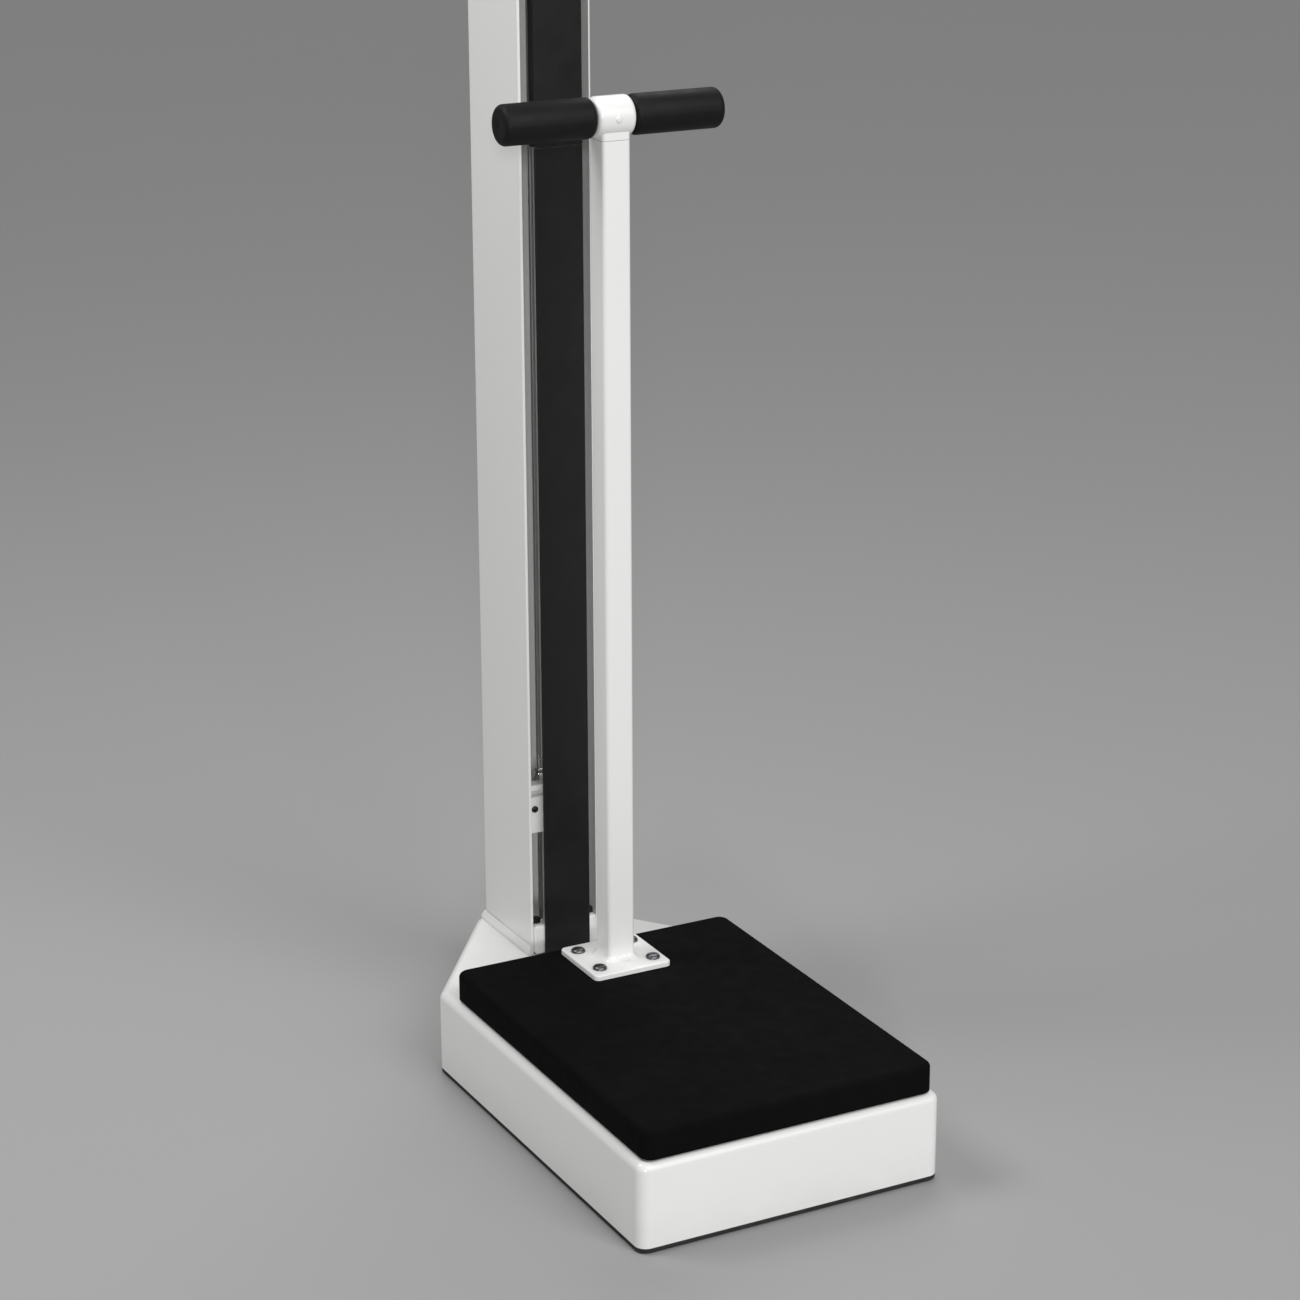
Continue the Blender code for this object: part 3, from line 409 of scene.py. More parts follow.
def mat_rubber():
    """Moulded rubber with a fine pebble grain, a little greyer where shoes rub."""
    rubber = Finish("mat_rubber", (0.0040, 0.0040, 0.0041), 0.84, Specular_IOR_Level=0.04)
    rubber.tint(rubber.ramp(rubber.noise(9, 5), 0.42, 0.8, 0.0, 0.5), (0.0075, 0.0075, 0.0075))
    rubber.tint(rubber.ramp(rubber.cells(720), 0.25, 0.6, 0.0, 0.4), (0.003, 0.003, 0.003))
    rubber.rough(rubber.noise(70, 4), 0.08)
    rubber.bump(rubber.cells(720), 0.22 * MM, 0.8)
    rubber.bump(rubber.noise(2600, 2), 0.04 * MM, 0.6)
    return rubber.material


def foot_rubber():
    """Matt rubber of the feet and of the painted shadow strip under the cover, dusty in patches."""
    rubber = Finish("foot_rubber", (0.020, 0.020, 0.020), 0.82, Specular_IOR_Level=0.3)
    rubber.tint(rubber.ramp(rubber.noise(150, 4), 0.45, 0.75, 0.0, 0.6), (0.045, 0.044, 0.042))
    rubber.rough(rubber.noise(200), 0.06)
    rubber.bump(rubber.noise(1500, 3), 0.06 * MM, 0.6)
    return rubber.material


def grip_vinyl():
    """Soft black vinyl with a leather-like grain."""
    vinyl = Finish("grip_vinyl", (0.006, 0.006, 0.0062), 0.55, Specular_IOR_Level=0.17)
    vinyl.tint(vinyl.ramp(vinyl.noise(60, 4), 0.4, 0.75, 0.0, 0.6), (0.0095, 0.0095, 0.0098))
    vinyl.rough(vinyl.noise(60, 4), 0.07)
    vinyl.bump(vinyl.cells(850, "DISTANCE_TO_EDGE"), 0.10 * MM, 0.35)
    vinyl.bump(vinyl.noise(1800, 3), 0.03 * MM, 0.5)
    return vinyl.material


def steel(name, colour, roughness, stretch=(1, 1, 1), scale=400):
    """Plated steel with fine tool marks; stretch is low along the marks."""
    metal = Finish(name, colour, roughness, 1.0)
    dull = tuple(c * 0.8 for c in colour)
    metal.tint(metal.ramp(metal.noise(140, 4), 0.45, 0.8, 0.0, 0.3), dull)
    metal.rough(metal.noise(scale, 3, stretch), 0.05)
    metal.bump(metal.noise(scale * 3, 2, stretch), 0.006 * MM, 0.4)
    return metal.material


def cast_iron():
    """Dark painted casting skin."""
    iron = Finish("cast_iron", (0.058, 0.059, 0.062), 0.62, 0.25, Specular_IOR_Level=0.45)
    iron.tint(iron.ramp(iron.noise(70, 5), 0.45, 0.75, 0.0, 0.7), (0.095, 0.094, 0.092))
    iron.tint(iron.ramp(iron.noise(320, 4), 0.62, 0.72, 0.0, 0.4), (0.16, 0.12, 0.09))
    iron.rough(iron.noise(180, 4), 0.12)
    iron.bump(iron.noise(520, 5), 0.30 * MM, 0.7)
    return iron.material


def die_cast():
    """Satin plated die casting of the beam, with fine lengthwise polishing marks."""
    metal = Finish("die_cast", (0.70, 0.70, 0.685), 0.46, 0.5)
    metal.tint(metal.ramp(metal.noise(30, 4), 0.4, 0.8, 0.0, 0.4), (0.64, 0.64, 0.625))
    metal.rough(metal.noise(700, 3, (0.03, 1, 1)), 0.05)
    metal.bump(metal.noise(2400, 2, (0.02, 1, 1)), 0.006 * MM, 0.4)
    return metal.material


def brass():
    """Turned brass of the balance weight, slightly tarnished."""
    metal = Finish("brass", (0.60, 0.43, 0.17), 0.30, 1.0)
    metal.tint(metal.ramp(metal.noise(90, 4), 0.4, 0.8, 0.0, 0.5), (0.48, 0.335, 0.135))
    metal.rough(metal.noise(300, 3), 0.06)
    metal.bump(metal.noise(1500, 2, (0.05, 1, 1)), 0.006 * MM, 0.4)
    return metal.material


def ink(name, colour):
    """Paint filled into the marks."""
    paint = Finish(name, colour, 0.5)
    worn = tuple(c * 1.6 + 0.01 for c in colour)
    paint.tint(paint.ramp(paint.noise(700, 4), 0.55, 0.8, 0.0, 0.4), worn)
    paint.rough(paint.noise(500), 0.08)
    return paint.material


WHITE = white_enamel()
BLACK = black_enamel()
MAT = mat_rubber()
FOOT = foot_rubber()
VINYL = grip_vinyl()
STEEL = steel("bright_steel", (0.62, 0.62, 0.60), 0.27)
ROD_STEEL = steel("rod_steel", (0.60, 0.60, 0.585), 0.30, (1, 1, 0.02))
DARK_STEEL = steel("dark_steel", (0.16, 0.16, 0.165), 0.40)
BOLT_STEEL = steel("bolt_steel", (0.05, 0.05, 0.052), 0.45)
IRON = cast_iron()
DIE_CAST = die_cast()
BRASS = brass()
BLACK_INK = ink("black_ink", (0.012, 0.012, 0.013))
WHITE_INK = ink("white_ink", (0.72, 0.72, 0.70))


# --- Base ------------------------------------------------------------------------------

COVER_WALL = 2 * MM
COVER_CORNER = 10 * MM
COVER_ROUND = 7 * MM
REAR_WIDTH = 78 * MM
BASE_DEPTH = 379 * MM


def base_corners():
    low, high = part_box("base_cover")
    back = low.y + BASE_DEPTH
    return [
        (low.x, low.y), (high.x, low.y), (high.x, back),
        (REAR_WIDTH / 2, high.y), (-REAR_WIDTH / 2, high.y), (low.x, back),
    ]


def make_shadow_line_strip():
    """A strip of the black foot rubber along the cover's lower edge, just clear of the floor: painted shadow,
    standing in for the dark contact shadow line under the cover.
    """
    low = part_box("base_cover")[0].z
    corners = base_corners()
    # Painted shadow: this dark strip draws the shadow line under the cover's edge.
    shadow_strip = make_object("base_shadow_line_strip", loft([
        at_height(rounded_outline(corners, inset, COVER_CORNER - inset), z)
        for inset, z in (
            (0.2 * MM, low - 0.1 * MM), (0.2 * MM, 1.6 * MM), (0.9 * MM, 0.8 * MM),
            (3.2 * MM, 0.8 * MM), (4 * MM, 1.6 * MM), (4 * MM, low - 0.1 * MM),
        )
    ], closed=True))
    finish_piece(shadow_strip, FOOT, "foot_rubber", "base")


def make_base_cover():
    """A pressed cover: round shoulder, vertical corners, a lipped opening and a bottom hem."""
    low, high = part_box("base_cover")
    corners = base_corners()
    shell = pan(corners, low.z, high.z, COVER_WALL, COVER_WALL, COVER_CORNER, COVER_ROUND, 10)
    cover = make_object("base_shell", shell)

    platform_low, platform_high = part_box("platform_mat")
    margin = 15 * MM
    opening = rectangle((platform_low.x + margin, platform_low.y + margin),
                        (platform_high.x - margin, platform_high.y - margin))
    inner_corner, outer_corner = 10 * MM, 12 * MM
    lip_top, lip_foot = high.z - 0.5 * MM, high.z - 9 * MM
    lip = loft([
        at_height(rounded_outline(opening, inset, radius), z)
        for inset, radius, z in (
            (-COVER_WALL, outer_corner, lip_top), (-COVER_WALL, outer_corner, lip_foot),
            (0, inner_corner, lip_foot), (0, inner_corner, lip_top),
        )
    ], closed=True)
    hem_width, hem_top = 5 * MM, low.z + 1.4 * MM
    hem = loft([
        at_height(rounded_outline(corners, inset, COVER_CORNER - inset), z)
        for inset, z in (
            (COVER_WALL / 2, low.z), (hem_width, low.z), (hem_width, hem_top),
            (COVER_WALL / 2, hem_top),
        )
    ], closed=True)
    carve(cover, lip, hem, operation="UNION")
    cut = (high.z - 20 * MM, high.z + 5 * MM)
    window = prism(rounded_outline(opening, 0, inner_corner), "Z", cut)
    rod_hole = prism(circle(12 * MM, 40, middle("steelyard_rod").xy), "Z", cut)
    carve(cover, window, rod_hole)
    soften(cover, 0.5 * MM, 2, 40)
    finish_piece(cover, WHITE, "white_enamel", "base", "base_cover")


FEET = ("foot_front_left", "foot_front_right", "foot_rear_left", "foot_rear_right",
        "foot_column")


def make_feet():
    """Rubber buttons with a stepped rim and a screw in a recess."""
    for name in FEET:
        low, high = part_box(name)
        centre = middle(name).xy
        radius = (high.x - low.x) / 2
        top, bottom = high.z, low.z
        profile = [
            (bottom + 2.6 * MM, 3.6 * MM), (bottom + 2.6 * MM, 5.2 * MM),
            (bottom + 0.2 * MM, 5.6 * MM), (bottom, 6.2 * MM), (bottom, 9 * MM),
            (bottom + 0.5 * MM, 9.4 * MM), (bottom, 9.8 * MM),
            (bottom, radius - 1.2 * MM), (bottom + 0.35 * MM, radius - 0.35 * MM),
            (bottom + 1.2 * MM, radius), (bottom + 3.2 * MM, radius),
            (bottom + 3.6 * MM, radius - 0.7 * MM), (top, radius - 0.7 * MM), (top, 3.6 * MM),
        ]
        foot = make_object(name + "_rubber", turned(profile, "Z", centre, 40, closed=True))
        finish_piece(foot, FOOT, "foot_rubber", "base", name)
        seat = (*centre, bottom + 2.5 * MM)
        screw = screw_head(name + "_screw", "Z", seat, 3.3 * MM, 1.6 * MM, -1)
        finish_piece(screw, STEEL, "bright_steel", "base")


def screw_head(name, axis, seat, radius, height, outward=1, shank=None):
    """A round head with a slot; seat is the centre of its underside."""
    index = "XYZ".index(axis)
    base = seat[index]
    centre = [seat[i] for i in range(3) if i != index]
    profile = []
    if shank:
        shank_radius, shank_length = shank
        profile += [(base - outward * shank_length, shank_radius), (base, shank_radius)]
    profile += [(base, radius), (base + outward * height * 0.25, radius)]
    for k in range(1, 7):
        angle = pi / 2 * k / 6
        profile.append((base + outward * height * (0.25 + 0.75 * sin(angle)),
                        radius * (0.42 + 0.58 * cos(angle))))
    head = make_object(name, turned(profile, axis, centre, 32), 50)
    half_slot = radius * 0.13
    depth = (base + outward * height * 0.45, base + outward * height * 1.5)
    slot = rectangle((centre[0] - 2 * radius, centre[1] - half_slot),
                     (centre[0] + 2 * radius, centre[1] + half_slot))
    carve(head, prism(slot, axis, (min(depth), max(depth))))
    return soften(head, radius * 0.04, 1, 50)


def make_under_frame():
    """Straps, bracket and levers under the covers: castings with rounded edges."""
    for node in ("front_cross_rail", "rear_cross_rail", "column_bracket"):
        refine(node, IRON, "cast_iron", 0.8 * MM)
    for node in ("long_lever", "short_lever"):
        refine(node, IRON, "cast_iron", 1.6 * MM)
    for end in ("front", "rear"):
        for side in ("left", "right"):
            refine(f"platform_leg_{end}_{side}", IRON, "cast_iron", 0.8 * MM)
    for body in ("long_lever", "short_lever"):
        for kind in ("fulcrum", "load"):
            make_pin(f"{body}_{kind}_pivot", "X")
    refine("lever_link", STEEL, "bright_steel", 1.2 * MM)
    refine("nose_stirrup", STEEL, "bright_steel", 1.2 * MM)


def make_pin(node, axis):
    """A round pin with chamfered ends and a groove near each end."""
    low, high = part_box(node)
    index = "XYZ".index(axis)
    across = (index + 1) % 3
    radius = (high[across] - low[across]) / 2
    first, last = low[index], high[index]
    chamfer = radius * 0.2
    groove = radius * 0.9
    profile = [
        (first, radius - chamfer), (first + chamfer, radius), (first + groove, radius),
        (first + groove, radius - chamfer), (first + groove * 1.5, radius - chamfer),
        (first + groove * 1.5, radius), (last - groove * 1.5, radius),
        (last - groove * 1.5, radius - chamfer), (last - groove, radius - chamfer),
        (last - groove, radius), (last - chamfer, radius), (last, radius - chamfer),
    ]
    centre = middle(node)
    place = [centre[i] for i in range(3) if i != index]
    pin = make_object(node + "_pin", turned(profile, axis, place, 32))
    finish_piece(pin, STEEL, "bright_steel", body_of(node), node)


# --- Column ----------------------------------------------------------------------------

def channel(width, front, back, wall, corner, steps=8):
    """A channel open to the front (-Y), in plan, with chamfered front and bent back corners."""
    half = width / 2
    chamfer = 0.6 * wall
    outer = [(half - chamfer, front), (half, front + chamfer)]
    outer += arc((half - corner, back - corner), corner, 0, 90, steps)
    outer += arc((corner - half, back - corner), corner, 90, 180, steps)
    outer += [(-half, front + chamfer), (chamfer - half, front)]
    inner_corner = max(corner - wall, 0.4 * MM)
    edge = wall + inner_corner
    inner = [(wall - half, front)]
    inner += arc((edge - half, back - edge), inner_corner, 180, 90, steps)
    inner += arc((half - edge, back - edge), inner_corner, 90, 0, steps)
    inner += [(half - wall, front)]
    return outer + inner


def make_column():
    low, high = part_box("column_shell")
    outline = channel(high.x - low.x, low.y, high.y, 2 * MM, 4 * MM)
    shell = make_object("column_channel", prism(outline, "Z", (low.z, high.z)))
    soften(shell, 0.3 * MM, 2, 60)
    finish_piece(shell, WHITE, "white_enamel", "base", "column_shell")
    refine("column_collar", WHITE, "white_enamel", 0.7 * MM)
    refine("column_foot_block", WHITE, "white_enamel", 0.5 * MM)


def make_strips():
    low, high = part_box("front_plate_lower")
    plate = make_object("front_plate_black", box(low, high))
    soften(plate, 0.8 * MM, 4)
    finish_piece(plate, BLACK, "black_enamel", "base", "front_plate_lower")
    refine("front_channel_upper", BLACK, "black_enamel", 0.7 * MM, 4)
    for node in ("strip_tie_lower", "strip_tie_middle", "strip_tie_upper"):
        refine(node, WHITE, "white_enamel", 1.0 * MM, 4)
    low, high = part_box("tie_screw")
    x, _, z = middle("tie_screw")
    head_height = 2 * MM
    seat = (x, low.y + head_height, z)
    shank = (1.45 * MM, high.y - low.y - head_height)
    screw = screw_head("tie_screw_head", "Y", seat, 3 * MM, head_height, -1, shank)
    finish_piece(screw, BOLT_STEEL, "dark_steel", "base", "tie_screw")
    for side in ("left", "right"):
        make_bolt(f"foot_bolt_{side}")


def make_bolt(node):
    """A six-sided bolt head with a chamfered top on a round shank."""
    low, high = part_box(node)
    centre = middle(node).xy
    radius = (high.x - low.x) / 2
    seat = high.z - 5 * MM
    head_turn = 0.3
    head = loft([
        at_height(circle(r, 6, centre, head_turn), z)
        for r, z in ((radius - 0.5 * MM, seat), (radius, seat + 0.5 * MM),
                     (radius, high.z - 0.8 * MM), (radius - 0.9 * MM, high.z))
    ])
    profile = [(low.z, 1.6 * MM), (low.z + 0.5 * MM, 2 * MM), (seat + 0.2 * MM, 2 * MM)]
    shank = turned(profile, "Z", centre, 20)
    bolt = make_object(node + "_hexagon", join_builders([head, shank]), 30)
    finish_piece(bolt, BOLT_STEEL, "dark_steel", "base", node)


# --- Platform and hand post ------------------------------------------------------------

def bolt_places():
    return [middle(f"flange_screw_{number}").xy for number in (1, 2, 3, 4)]


def bolt_cutters(low, high):
    """Round cutters for the flange's bolt holes."""
    return [prism(circle(FLANGE_BOLT_HOLE, 24, place), "Z", (low, high))
            for place in bolt_places()]


PLATFORM_CORNER = 10 * MM
MAT_SKIRT = 2.2 * MM


def make_platform():
    """A steel tray, and a moulded rubber mat whose skirt wraps the tray's sides."""
    low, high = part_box("platform_pan")
    clear = Vector((MAT_SKIRT + GAP, MAT_SKIRT + GAP))
    corners = rectangle(low.xy + clear, high.xy - clear)
    tray = make_object("platform_tray", pan(corners, low.z, high.z, 2 * MM, 3 * MM,
                                            PLATFORM_CORNER - MAT_SKIRT, 0.8 * MM))
    carve(tray, *bolt_cutters(high.z - 8 * MM, high.z + 4 * MM))
    finish_piece(tray, BLACK, "black_enamel", "platform", "platform_pan")

    skirt_low = low.z + 0.4 * MM
    low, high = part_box("platform_mat")
    corners = rectangle(low.xy, high.xy)
    edge = 5 * MM
    turns = [pi / 2 * k / 12 for k in range(13)]
    rings = [(MAT_SKIRT, low.z), (MAT_SKIRT, skirt_low), (0.4 * MM, skirt_low),
             (0, skirt_low + 0.4 * MM)]
    rings += [(edge * (1 - cos(turn)), high.z - edge * (1 - sin(turn))) for turn in turns]
    mat = make_object("platform_tread", loft([
        at_height(rounded_outline(corners, inset, PLATFORM_CORNER - inset, 12), z)
        for inset, z in rings
    ]))
    carve(mat, *bolt_cutters(low.z - 4 * MM, high.z + 4 * MM))
    finish_piece(mat, MAT, "mat_rubber", "platform", "platform_mat")


def make_flange():
    """The plate under the post, with a rounded rim, and its four screws."""
    low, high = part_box("post_flange")
    corners = rectangle(low.xy, high.xy)
    edge = 1.2 * MM
    turns = [pi / 2 * k / 5 for k in range(1, 6)]
    rings = [(0, low.z), (0, high.z - edge)]
    rings += [(edge * (1 - cos(turn)), high.z - edge * (1 - sin(turn))) for turn in turns]
    plate = make_object("flange_plate", loft([
        at_height(rounded_outline(corners, inset, 5 * MM - inset), z) for inset, z in rings
    ]))
    carve(plate, *bolt_cutters(low.z - 4 * MM, high.z + 4 * MM))
    finish_piece(plate, WHITE, "white_enamel", "platform", "post_flange")

    for number, place in enumerate(bolt_places(), 1):
        node = f"flange_screw_{number}"
        screw_low, screw_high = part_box(node)
        seat = high.z + GAP / 2
        shank = (2.6 * MM, seat - screw_low.z)
        height = screw_high.z - seat
        screw = screw_head(node + "_head", "Z", (*place, seat), 6.2 * MM, height, 1, shank)
        finish_piece(screw, DARK_STEEL, "dark_steel", "platform", node)


def make_post():
    low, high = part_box("post_tube")
    corners = rectangle(low.xy, high.xy)
    wall = 2 * MM
    tube = make_object("post_square_tube", loft([
        at_height(rounded_outline(corners, inset, POST_CORNER - inset), z)
        for inset, z in ((0, low.z), (0, high.z), (wall, high.z), (wall, low.z))
    ], closed=True))
    finish_piece(tube, WHITE, "white_enamel", "platform", "post_tube")
    make_weld(corners, low.z - GAP)


def make_weld(corners, seat):
    """The painted weld bead round the foot of the post, with its ripples."""
    leg = 4.2 * MM
    path = rounded_outline(corners, 0, POST_CORNER, 10)
    spacing = 0.8 * MM
    points = []
    for i, start in enumerate(path):
        end = path[(i + 1) % len(path)]
        run = (end[0] - start[0], end[1] - start[1])
        pieces = max(1, round(hypot(*run) / spacing))
        points += [(start[0] + run[0] * k / pieces, start[1] + run[1] * k / pieces)
                   for k in range(pieces)]
    centre = Vector(((corners[0][0] + corners[1][0]) / 2, (corners[0][1] + corners[2][1]) / 2))
    turns = [pi / 2 * k / 6 for k in range(1, 6)]
    rings = []
    for number, point in enumerate(points):
        outward = (Vector(point) - Vector((
            max(min(point[0], corners[1][0] - POST_CORNER), corners[0][0] + POST_CORNER),
            max(min(point[1], corners[2][1] - POST_CORNER), corners[0][1] + POST_CORNER),
        ))).normalized()
        if outward.length == 0:
            outward = (Vector(point) - centre).normalized()
        ripple = leg * (1 + 0.10 * abs(sin(number * 0.55)) - 0.05 * sin(number * 0.083))
        section = [(-0.2 * MM, 0.05 * MM), (ripple, 0.05 * MM)]
        section += [(ripple * (1 - sin(turn) ** 1.4), ripple * (1 - cos(turn) ** 1.4))
                    for turn in turns]
        section += [(0, ripple), (-0.2 * MM, ripple)]
        rings.append([(point[0] + outward.x * a, point[1] + outward.y * a, seat + b)
                      for a, b in section])
    bead = make_object("post_weld", loft(rings, closed=True), 60)
    finish_piece(bead, WHITE, "white_enamel", "platform")


def make_tee():
    """The fitting on the post: a round sleeve for the bar, blended into a square neck."""
    low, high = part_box("post_tee")
    bar = middle("handle_bar")
    radius = high.z - bar.z
    edge = 4.5 * MM
    profile = [(low.x + edge - a, radius - edge + b) for a, b in arc((0, 0), edge, 0, 90, 8)]
    profile += [(high.x - edge + a, radius - edge + b) for a, b in arc((0, 0), edge, 90, 0, 8)]
    tee = make_object("post_tee_casting", turned(profile, "X", (bar.y, bar.z), 72))
    post_low, post_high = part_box("post_tube")
    neck = rounded_outline(rectangle(post_low.xy, post_high.xy), 0, POST_CORNER)
    carve(tee, prism(neck, "Z", (low.z, bar.z)), operation="UNION")
    carve(tee, prism(circle(BAR_BORE, 48, (bar.y, bar.z)), "X", (low.x - MM, high.x + MM)))
    soften(tee, 0.8 * MM, 4, 30)
    finish_piece(tee, WHITE, "white_enamel", "platform", "post_tee")

    rivet_radius = 3.4 * MM
    front = bar.y - radius
    profile = [(front + 1.2 * MM, rivet_radius)]
    profile += [(front + 0.3 * MM - 1.3 * MM * sin(pi / 2 * k / 5),
                 0.2 * MM + (rivet_radius - 0.2 * MM) * cos(pi / 2 * k / 5)) for k in range(6)]
    rivet = make_object("tee_rivet", turned(profile, "Y", (bar.x, bar.z), 28), 60)
    finish_piece(rivet, WHITE, "white_enamel", "platform")


def make_handle():
    """A steel bar and two moulded grips with rounded ends and a faint parting ridge."""
    make_pin("handle_bar", "X")
    bar = middle("handle_bar")
    for node, sign in (("grip_left", -1), ("grip_right", 1)):
        low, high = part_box(node)
        radius = (high.z - low.z) / 2
        start, end = sorted((abs(low.x), abs(high.x)))
        edge = 5 * MM
        profile = [(end - 3.7 * MM, BAR_BORE), (start, BAR_BORE)]
        profile += [(start + edge - a, radius - edge + b) for a, b in arc((0, 0), edge, 0, 90, 8)]
        profile += [(end - edge + a, radius - edge + b) for a, b in arc((0, 0), edge, 90, 0, 8)]
        profile += [(end - 0.1 * MM, 3 * MM), (end - 0.5 * MM, 2 * MM)]
        count = 64
        rings = []
        for along, ring_radius in profile:
            reaches = [ring_radius] * count
            if ring_radius > radius - 2 * MM:
                reaches[0] = reaches[count // 2] = ring_radius + 0.18 * MM
            rings.append(ring_at("X", (bar.y, bar.z), sign * along, reaches))
        grip = make_object(node + "_vinyl", loft(rings))
        finish_piece(grip, VINYL, "grip_vinyl", "platform", node)


# --- Steelyard rod ---------------------------------------------------------------------

def thread(axis, centre, radius, depth, pitch, span, count=20):
    """A screw thread: rings whose radius follows the helix."""
    first, last = span
    steps = max(2, int(round((last - first) / (pitch / 4))))
    rings = []
    for k in range(steps + 1):
        along = first + (last - first) * k / steps
        phases = [(along / pitch - i / count) % 1.0 for i in range(count)]
        reaches = [radius - depth * abs(2 * phase - 1) for phase in phases]
        rings.append(ring_at(axis, centre, along, reaches))
    return loft(rings)


def make_rod():
    low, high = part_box("steelyard_rod")
    centre = middle("steelyard_rod").xy
    radius = 2 * MM
    barrel_low, barrel_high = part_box("rod_turnbuckle")
    threaded = (barrel_low.z - 14 * MM, barrel_high.z + 14 * MM)
    tip, chamfer = radius * 0.8, 0.4 * MM
    lower = [(low.z, tip), (low.z + chamfer, radius), (threaded[0], radius)]
    upper = [(threaded[1], radius), (high.z - chamfer, radius), (high.z, tip)]
    parts = [
        turned(lower, "Z", centre, 24),
        thread("Z", centre, radius, 0.35 * MM, SMALL_PITCH, threaded),
        turned(upper, "Z", centre, 24),
    ]
    rod = make_object("pull_rod", join_builders(parts))
    finish_piece(rod, ROD_STEEL, "bright_steel", "steelyard", "steelyard_rod")
    refine("rod_turnbuckle", STEEL, "bright_steel", 0.5 * MM)
    refine("beam_yoke", STEEL, "bright_steel", 0.8 * MM)
    bore, chamfered, across, height = radius + 0.1 * MM, 3.6 * MM, 3.9 * MM, 3.4 * MM
    profile = ((bore, 0), (chamfered, 0), (across, 0.4 * MM), (across, 3 * MM),
               (chamfered, height), (bore, height))
    for name, base in (("rod_lock_nut_lower", barrel_low.z - 4 * MM),
                       ("rod_lock_nut_upper", barrel_high.z + 0.6 * MM)):
        nut = make_object(name, loft([
            at_height(circle(r, 6, centre), base + z) for r, z in profile
        ], closed=True))
        finish_piece(nut, STEEL, "bright_steel", "steelyard")


# --- Head ------------------------------------------------------------------------------

def make_shelf():
    """The cast shelf on the column: a rounded bar with a hole for the rod and four screws."""
    refine("column_cap", WHITE, "white_enamel", 0.6 * MM)
    low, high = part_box("beam_shelf")
    corners = rectangle(low.xy, high.xy)
    edge = 2.5 * MM
    turns = [pi / 2 * k / 5 for k in range(6)]
    rings = [(edge * (1 - sin(turn)), low.z + edge * (1 - cos(turn))) for turn in turns]
    rings += [(edge * (1 - cos(turn)), high.z - edge * (1 - sin(turn))) for turn in turns]
    shelf = make_object("shelf_casting", loft([
        at_height(rounded_outline(corners, inset, 12 * MM - inset), z) for inset, z in rings
    ]))
    rod_place = middle("steelyard_rod").xy
    hole = prism(circle(7 * MM, 36, rod_place), "Z", (low.z - MM, high.z + MM))
    carve(shelf, hole)
    soften(shelf, 0.4 * MM, 2, 60)
    finish_piece(shelf, WHITE, "white_enamel", "base", "beam_shelf")

    for number, (dx, dy) in enumerate(((-22, -8), (-22, 8), (22, -11), (22, 11)), 1):
        seat = (rod_place[0] + dx * MM, rod_place[1] + dy * MM, high.z)
        screw = screw_head(f"shelf_screw_{number}", "Z", seat, 3.4 * MM, 2 * MM)
        finish_piece(screw, STEEL, "bright_steel", "base")


def make_stand_and_loop():
    refine("fulcrum_stand", WHITE, "white_enamel", 1.0 * MM)
    refine("trig_loop", WHITE, "white_enamel", 1.2 * MM, 4)
    foot_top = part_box("trig_loop")[0].z + 4.7 * MM
    x, y, _ = middle("trig_loop")
    for number, side in enumerate((-1, 1), 1):
        seat = (x + side * 6.6 * MM, y, foot_top)
        screw = screw_head(f"loop_screw_{number}", "Z", seat, 2.3 * MM, 1.5 * MM)
        finish_piece(screw, STEEL, "bright_steel", "base")


def make_beam():
    refine("beam", DIE_CAST, "die_cast", 0.6 * MM)
    make_pin("beam_fulcrum_pivot", "Y")
    make_pin("beam_load_pivot", "Y")


SMALL_STEPS = 200
MAIN_STEPS = 7
MAIN_LINES = (1437.6 * MM, 1440.6 * MM)
MAIN_FIGURES = 1430.2 * MM
SMALL_FIGURES = 1458.5 * MM


def small_mark_length(number):
    """Longer lines on the small bar at each half unit, unit and five units."""
    for step, length in ((20, 3.6 * MM), (4, 3.0 * MM), (2, 2.2 * MM)):
        if number % step == 0:
            return length
    return 1.5 * MM


def make_marks():
    """Graduations and numbers on both faces of the beam."""
    low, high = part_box("beam")
    y_middle = (low.y + high.y) / 2
    main_start = middle("main_poise").x
    small_start = middle("small_poise").x
    travel = {j["name"]: j["range_m"][1] for j in frame["joints"] if "range_m" in j}
    main_travel = travel["main_poise_slide"]
    small_travel = travel["small_poise_slide"]
    bars = []
    proud = 0.12 * MM

    def mark(x, z_low, z_high, width):
        for face, side in ((low.y, -1), (high.y, 1)):
            edge = sorted((face + side * proud, face - side * 0.2 * MM))
            bars.append(box((x - width / 2, edge[0], z_low), (x + width / 2, edge[1], z_high)))

    top = high.z - 0.7 * MM
    for number in range(SMALL_STEPS + 1):
        x = small_start + small_travel * number / SMALL_STEPS
        mark(x, top - small_mark_length(number), top, 0.35 * MM)
    for number in range(MAIN_STEPS + 1):
        x = main_start + main_travel * number / MAIN_STEPS
        mark(x, *MAIN_LINES, 0.8 * MM)
    lines = make_object("beam_graduations", join_builders(bars))
    finish_piece(lines, BLACK_INK, "black_enamel", "beam")

    texts = []
    for number in range(11):
        x = small_start + small_travel * number / 10
        texts.append((str(5 * number), x, SMALL_FIGURES, 3.4 * MM))
    for number in range(MAIN_STEPS + 1):
        x = main_start + main_travel * number / MAIN_STEPS
        texts.append((str(50 * number), x, MAIN_FIGURES, 6.4 * MM))
    reach = (high.y - low.y) / 2 - 0.05 * MM
    numbers = []
    for text, x, z, size in texts:
        for side in (-1, 1):
            numbers.append(number_mesh(text, x, y_middle + side * reach, z, size, side))
    figures = make_object("beam_numbers", join_builders(numbers), 60)
    finish_piece(figures, BLACK_INK, "black_enamel", "beam")


